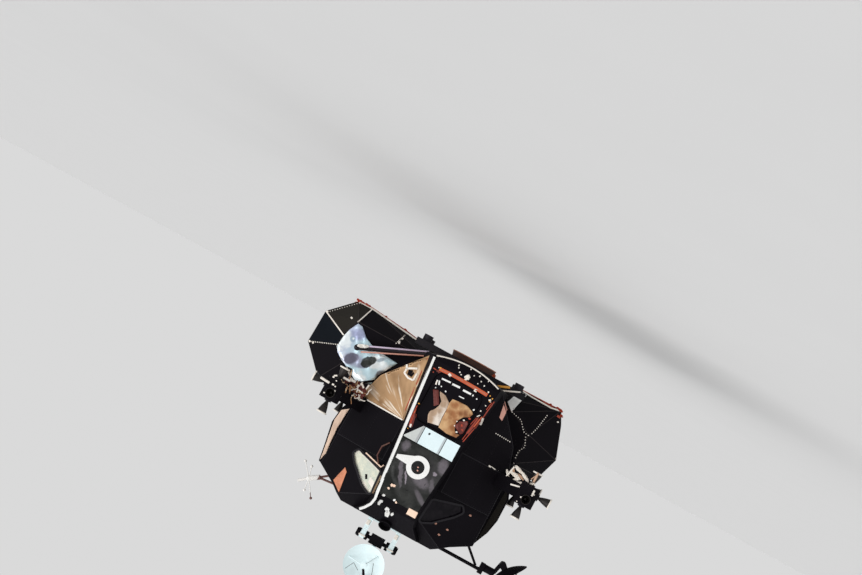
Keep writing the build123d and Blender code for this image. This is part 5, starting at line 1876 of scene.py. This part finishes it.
@dataclass
class Quads:
    """Wrapping of the outriggers and small parts of the thruster quads."""

    reach: float = 66.0
    height: float = 57.5
    face_y: float = -72.2
    # the right quads' film: ends by X and Z, half thickness, and whether it is white
    lobes: tuple[tuple[Pair, Pair, float, bool], ...] = (
        ((-52.2, 45.2), (-57.6, 47.0), 1.1, True), ((-57.0, 46.4), (-63.4, 50.0), 1.0, True),
        ((-51.6, 49.6), (-58.6, 50.8), 1.3, True), ((-54.6, 56.6), (-60.8, 52.4), 1.5, True),
        ((-53.8, 54.6), (-58.2, 50.6), 0.9, True), ((-48.8, 49.6), (-52.2, 53.8), 0.8, True),
        ((-64.2, 50.4), (-67.0, 49.0), 0.8, True), ((-60.2, 53.0), (-65.4, 56.0), 0.7, False),
        ((-56.0, 48.4), (-60.4, 50.4), 0.6, False), ((-51.8, 47.0), (-53.6, 49.4), 0.6, False),
    )

    def build(self, shop: Shop) -> None:
        """Make the quads' pieces.

        Args:
            shop: The shared tools.
        """
        collars, throats, rims, white, gold, dark, pale, warm = (Stock() for _ in range(8))
        for x_side, y_side in ((1, -1), (-1, -1), (1, 1), (-1, 1)):
            x, y = x_side * self.reach, y_side * self.reach
            for place, way in (
                ((x, y, self.height + 6.5), (0, 0, 1)), ((x, y, self.height - 6.5), (0, 0, -1)),
                ((x + 6 * x_side, y, self.height - 2), (x_side, 0, 0)),
                ((x, y + 6 * y_side, self.height + 2), (0, y_side, 0)),
            ):
                place, out = Vector(place), Vector(way)
                collars.collar(place + out * 0.5, way, 2.2, 0.9)
                # pale throats and cream exit rims go only into the bells that point up, down and
                # out, as painted highlights of their lit mouths; the fore and aft bells stay dark
                # inside as painted shade
                if not way[1]:
                    throats.collar(place + out * 5.4, way, 1.85, 0.5)
                    rims.ring(place + out * 8.35, way, 2.85, 0.55)
            if x_side < 0:
                for start, end, half, foil in self.lobes:
                    ends = [(u, y_side * (abs(u) + 2.5), v) for u, v in (start, end)]
                    (white if foil else gold).lobe(*ends, half)
            else:
                u, w, v = x - 9.5 * x_side, y - 10.5 * y_side, self.height - 7.5
                dark.crumpled((u - 1.0, w + y_side, v + 1.4), (7.4, 2.4, 5.0), 0.5)
                pale.tangle((u - 2.6, w + 3.6 * y_side, v + 1.2), (6.0, 1.6, 4.4), 17, 0.30)
                warm.tangle((u + 0.4, w + 2.8 * y_side, v + 1.8), (8.0, 2.0, 5.2), 20, 0.32)
        for stock, name, finish, smooth in (
            (collars, "thruster_collars", DARK_METAL, True),
            (throats, "thruster_throats", METAL, True), (rims, "thruster_exit_painted_highlights", CREAM, True),
            (pale, "stay_wires_pale", CREAM, True),
            (warm, "stay_wires_copper", CRUMPLED_GOLD, True),
            (white, "stay_foil_white", CREAM, False), (gold, "stay_foil_tan", TAN, False),
            (dark, "stay_wrap_dark", DARK_RED, False),
        ):
            stock.finish(name, finish, smooth=smooth)
        self.left_fittings()
        self.right_fittings()

    def face_studs(self, stock: Stock, rows: Iterable[Triple]) -> None:
        """Add studs to the face of a front quad, by X, Z and width."""
        stock.studs((((u, self.face_y, v), size) for u, v, size in rows), 0.9, 0.8)

    def left_fittings(self) -> None:
        """Bars, clips and studs of the front left quad and its outrigger."""
        pale, warm = Stock(), Stock()
        pale.bars((
            ((76.0, -72.0, 54.3), (69.7, -72.4, 54.7), 0.75),
            ((69.4, -72.4, 49.6), (67.6, -72.4, 48.6), 0.5),
            ((64.1, -68.0, 47.9), (59.8, -66.0, 48.0), 0.7),
            ((61.4, -62.0, 47.2), (57.0, -60.0, 47.0), 0.8),
            ((65.6, -62.0, 41.9), (61.6, -56.0, 45.6), 0.45),
            ((54.6, -61.0, 47.5), (53.3, -60.0, 52.1), 0.4),
            ((53.1, -60.6, 46.0), (51.0, -59.0, 47.8), 0.6),
            ((53.2, -60.6, 50.3), (50.0, -58.6, 50.8), 0.45),
            ((49.4, -58.0, 47.8), (48.9, -57.4, 44.6), 0.5),
        ))
        self.face_studs(pale, ((69.2, 50.4, 1.2), (67.3, 54.5, 1.4), (65.6, 54.9, 1.0),
                               (69.7, 61.3, 1.0), (66.6, 51.6, 0.9), (64.6, 57.4, 1.1)))
        pale.studs((((60.6, -67.0, 58.8), 1.2), ((57.0, -59.5, 55.6), 1.3),
                    ((53.6, -56.0, 54.9), 1.3), ((56.6, -59.0, 61.2), 1.2)), 1.0, 0.7)
        warm.bars((
            ((60.2, -65.0, 52.0), (59.0, -64.0, 55.6), 0.55),
            ((58.2, -63.0, 51.6), (56.6, -61.6, 54.8), 0.5),
            ((61.0, -63.0, 50.6), (57.9, -61.0, 55.2), 0.6),
            ((59.0, -61.6, 50.0), (56.7, -60.0, 54.2), 0.6),
            ((52.6, -60.0, 51.4), (48.4, -57.0, 50.4), 0.45),
            ((60.8, -66.0, 47.0), (62.4, -58.0, 41.6), 0.5),
        ))
        pale.finish("quad_left_pale_parts", CREAM)
        warm.finish("quad_left_tubes", CRUMPLED_GOLD, smooth=True)

    def right_fittings(self) -> None:
        """Bars, clips and studs of the front right quad and its outrigger."""
        pale, warm = Stock(), Stock()
        pale.bars((
            ((-50.6, -54.0, 53.4), (-52.0, -55.0, 46.0), 0.6),
            ((-61.0, -66.0, 54.6), (-54.6, -62.0, 56.2), 0.5),
            ((-68.6, -72.2, 56.2), (-68.5, -72.2, 52.3), 0.6),
            ((-71.4, -70.0, 63.2), (-70.6, -70.4, 57.0), 0.4),
        ))
        self.face_studs(pale, ((-63.4, 59.7, 1.3), (-66.0, 60.6, 0.9), (-69.4, 54.8, 0.9),
                               (-62.2, 63.0, 0.8)))
        warm.bars((((-65.7, -70.0, 42.2), (-65.8, -69.0, 48.4), 0.7),
                   ((-63.8, -67.4, 47.6), (-65.6, -69.0, 44.0), 0.4)))
        pale.finish("quad_right_pale_parts", CREAM)
        warm.finish("quad_right_rod", TAN, smooth=True)


@dataclass
class Antennas:
    """Small parts of the radar, the mast and the radar's dish."""

    leg_angle: float = 118.5
    dish_r: float = 12.7
    dish_place: Triple = (0.0, -43.5, 142.3)
    bearing: float = 9.7

    def build(self, shop: Shop) -> None:
        """Make the antennas' pieces.

        Args:
            shop: The shared tools.
        """
        caps, clips, sleeve, leg = Stock(), Stock(), Stock(), Stock()
        for x in (-self.bearing, self.bearing):
            caps.collar((x, -40, 126.5), (1, 0, 0), 2.62, 7.4)
            caps.collar((1.38 * x, -40, 126.5), (1, 0, 0), 2.3, 1.2)
            clips.block((x, -42.9, 127.3), (4.4, 0.5, 0.9))
            clips.block((x + 0.3, -42.7, 118.6), (2.2, 0.8, 3.4), 0.3)
        caps.finish("radar_bearing_caps", BLACK, smooth=True)
        clips.finish("radar_stand_clips", CREAM)
        sleeve.bar((50.6, -24, 110.4), (54.2, -24, 112.4), 1.25, end_radius=1.1)
        sleeve.bar((54.0, -24, 112.3), (61.5, -24, 118.5), 0.62)
        sleeve.block((56, -24.6, 114), (2.6, 1.2, 2.4), 0.4)
        sleeve.finish("mast_sleeve", WHITE, smooth=True)
        # the thick black feed leg stands for the leg and its shadow on the dish: part real, part
        # painted shadow
        x, y, z = self.dish_place
        angle = math.radians(self.leg_angle)
        way = Vector((math.cos(angle), 0, math.sin(angle)))
        foot = way * self.dish_r * 0.8 + Vector((x, y - 2.32, z))
        leg.bar(foot, way * 1.2 + Vector((x, y - 9.0, z)), 0.95, end_radius=0.7)
        leg.finish("radar_feed_leg_and_painted_shadow", BLACK, "radar_reflector", smooth=True)
        # thin dark lines on the dish are painted shadows of its feed struts
        lines = (((6.0, 144.2), (9.0, 149.6)), ((-4.8, 138.9), (-8.0, 147.8)),
                 ((6.0, 144.2), (1.6, 147.2)))
        paths = [shop.tracer.line(line, ("radar_dish",)) for line in lines]
        shop.beads("radar_dish_seams", paths, GREY_SHEET, 0.12, "radar_reflector")


@dataclass
class Aft:
    """Rivets and seams of the aft bay, and film and rims under the craft."""

    panel_x: Triple = (-25.3, 0.0, 25.3)
    panel_z: Pair = (33.0, 71.0)
    panel_half: Pair = (11.0, 17.3)
    nozzle_rims: tuple[Pair, ...] = ((15.3, -0.2), (14.4, 4.8))

    def build(self, shop: Shop) -> None:
        """Make the aft pieces.

        Args:
            shop: The shared tools.
        """
        wide, high = self.panel_half
        corners = ((-wide, -high), (wide, -high), (wide, high), (-wide, high), (-wide, -high))
        panels = [[(x + u, z + v) for u, v in corners] for x in self.panel_x for z in self.panel_z]
        paths = [shop.tracer.line(panel, ("aft_panels",), View.BACK, -0.13) for panel in panels]
        shop.rivets("aft_panel_rivets", paths, METAL, 2.2, 0.3)
        edges = shop.tracer.sharp_edges("aft_equipment_bay", 20, (-51, 49, 5), (51, 85, 102), 6.0)
        shop.beads("aft_edge_seams", edges, GREY_SHEET, 0.24)
        shop.sheets.pieces("base_foil", [
            Patch(outline, ("base_heat_shield",), 0.2, 0.1, 0.2, 0.3, (1.0, 1.0), View.BELOW)
            for outline in (
                ((-19, -29.5), (26, -29.5), (26, -18), (18, -18), (-18, -18), (-19, -18)),
                ((-19, 29.5), (-19, 18), (26, 18), (26, 29.5)))
        ], GOLD)
        tab = Stock()
        tab.crumpled((-14.5, -3.4, 2.6), (1.9, 1.2, 1.7), 0.5)
        tab.finish("nozzle_foil_tab", BRIGHT_ORANGE)
        rims = [Path.circle(radius, z, 24, -1) for radius, z in self.nozzle_rims]
        shop.beads("nozzle_rim", rims, COPPER, 0.28)


@dataclass
class Deck:
    """Bolts of the docking ring and seams of the top deck."""

    ring: float = 17.4
    bolts: int = 24

    def build(self, shop: Shop) -> None:
        """Make the deck's pieces.

        Args:
            shop: The shared tools.
        """
        circle = Path.circle(self.ring, 116.5, self.bolts, 1)
        shop.rivets("docking_ring_bolts", [circle], DARK_METAL, 4.5, 0.4)
        rows = (((-29, -25), (-29, 31)), ((29, -25), (29, 31)), ((-29, 31), (29, 31)),
                ((-29, 20), (-14, 20)), ((14, 20), (29, 20)))
        paths = [shop.tracer.line(row, ("midsection",), View.TOP) for row in rows]
        shop.rivets("deck_rivets", paths, BLACK_SHEET, 2.0, 0.22)


@dataclass
class Studio:
    """Camera, lights, floor and background; the lamps by way, strength and spread in degrees."""

    lens: float = 74.1
    right: Triple = (-0.8782, 0.0189, -0.4779)
    up: Triple = (0.4757, -0.0686, -0.8769)
    floor_z: float = -1.8
    floor_half: float = 240.0
    floor_tones: Pair = (0.735, 0.75)
    pale: float = 0.70
    even: float = 0.42
    lamps: tuple[tuple[str, Triple, float, float], ...] = (
        ("key", (0.62, -0.64, 0.45), 2.1, 50.0), ("fill", (-0.70, -0.62, 0.25), 0.6, 60.0),
        ("back", (-0.35, 0.75, 0.45), 0.9, 60.0),
    )

    def build(self) -> None:
        """Set the studio up."""
        scene = bpy.context.scene
        scene.view_settings.view_transform = "Standard"
        self.camera(scene)
        for name, way, strength, spread in self.lamps:
            data = bpy.data.lights.new(name, "SUN")
            data.energy, data.angle = strength, math.radians(spread)
            lamp = bpy.data.objects.new(name, data)
            scene.collection.objects.link(lamp)
            lamp.rotation_euler = (-Vector(way)).to_track_quat("-Z", "Y").to_euler()
        self.floor(scene)
        self.world(scene)

    def camera(self, scene: bpy.types.Scene) -> None:
        """Place the camera where the photograph was taken, rolled as it was.

        Args:
            scene: The scene.
        """
        data = bpy.data.cameras.new("camera")
        data.lens = self.lens
        data.sensor_width = 36.0
        data.clip_end = 500.0
        camera = bpy.data.objects.new("camera", data)
        scene.collection.objects.link(camera)
        right = Vector(self.right).normalized()
        up = (Vector(self.up) - right * right.dot(Vector(self.up))).normalized()
        turn = Matrix((right, up, right.cross(up))).transposed().to_4x4()
        camera.matrix_world = Matrix.Translation(Vector(EYE)) @ turn
        scene.camera = camera

    def floor(self, scene: bpy.types.Scene) -> None:
        """Lay a wide pale floor that fades into the background.

        Args:
            scene: The scene.
        """
        mesh = bpy.data.meshes.new("floor")
        half, z = self.floor_half, self.floor_z
        mesh.from_pydata([(-half, -half, z), (half, -half, z), (half, half, z), (-half, half, z)],
                         [], [(0, 1, 2, 3)])
        floor = bpy.data.objects.new("floor", mesh)
        scene.collection.objects.link(floor)
        net = Net("studio_floor")
        low, high = ((tone,) * 3 for tone in self.floor_tones)
        mesh.materials.append(net.close(
            Base_Color=net.mix(low, high, net.noise(0.6, 2.0, 0.4)), Roughness=1.0,
            Specular_IOR_Level=0.0))

    def world(self, scene: bpy.types.Scene) -> None:
        """Even light, with a pale background where it is seen.

        Args:
            scene: The scene.
        """
        world = scene.world = bpy.data.worlds.new("studio")
        world.use_nodes = True
        world.node_tree.nodes.clear()
        backdrop = (self.pale, self.pale, self.pale, 1.0)
        wire(world.node_tree, {
            "rays": ("ShaderNodeLightPath", {}, {}),
            "seen": ("ShaderNodeMath", {"operation": "MAXIMUM"}, {}),
            "also": ("ShaderNodeMath", {"operation": "MAXIMUM"}, {}),
            "even": ("ShaderNodeBackground", {}, {"Color": (1.0,) * 4, "Strength": self.even}),
            "backdrop": ("ShaderNodeBackground", {}, {"Color": backdrop}),
            "mix": ("ShaderNodeMixShader", {}, {}), "out": ("ShaderNodeOutputWorld", {}, {}),
        }, (
            ("rays", "Is Camera Ray", "seen", 0), ("rays", "Is Glossy Ray", "seen", 1),
            ("seen", 0, "also", 0), ("rays", "Is Transmission Ray", "also", 1),
            ("also", 0, "mix", "Fac"), ("even", 0, "mix", 1), ("backdrop", 0, "mix", 2),
            ("mix", 0, "out", "Surface"),
        ))


def main() -> None:
    """Dress the craft and light it."""
    logging.basicConfig(level=logging.INFO, format="%(name)s: %(message)s")
    noise.seed_set(NOISE_SEED)
    shop = Shop()
    CadFinishes().dress()
    for assembly in (Nose(), HatchCover(), Cabin(), TankPods(), Quads(), Antennas(), Aft(), Deck()):
        log.info("building %s", type(assembly).__name__)
        assembly.build(shop)
    Studio().build()


if __name__ == "__main__":
    main()
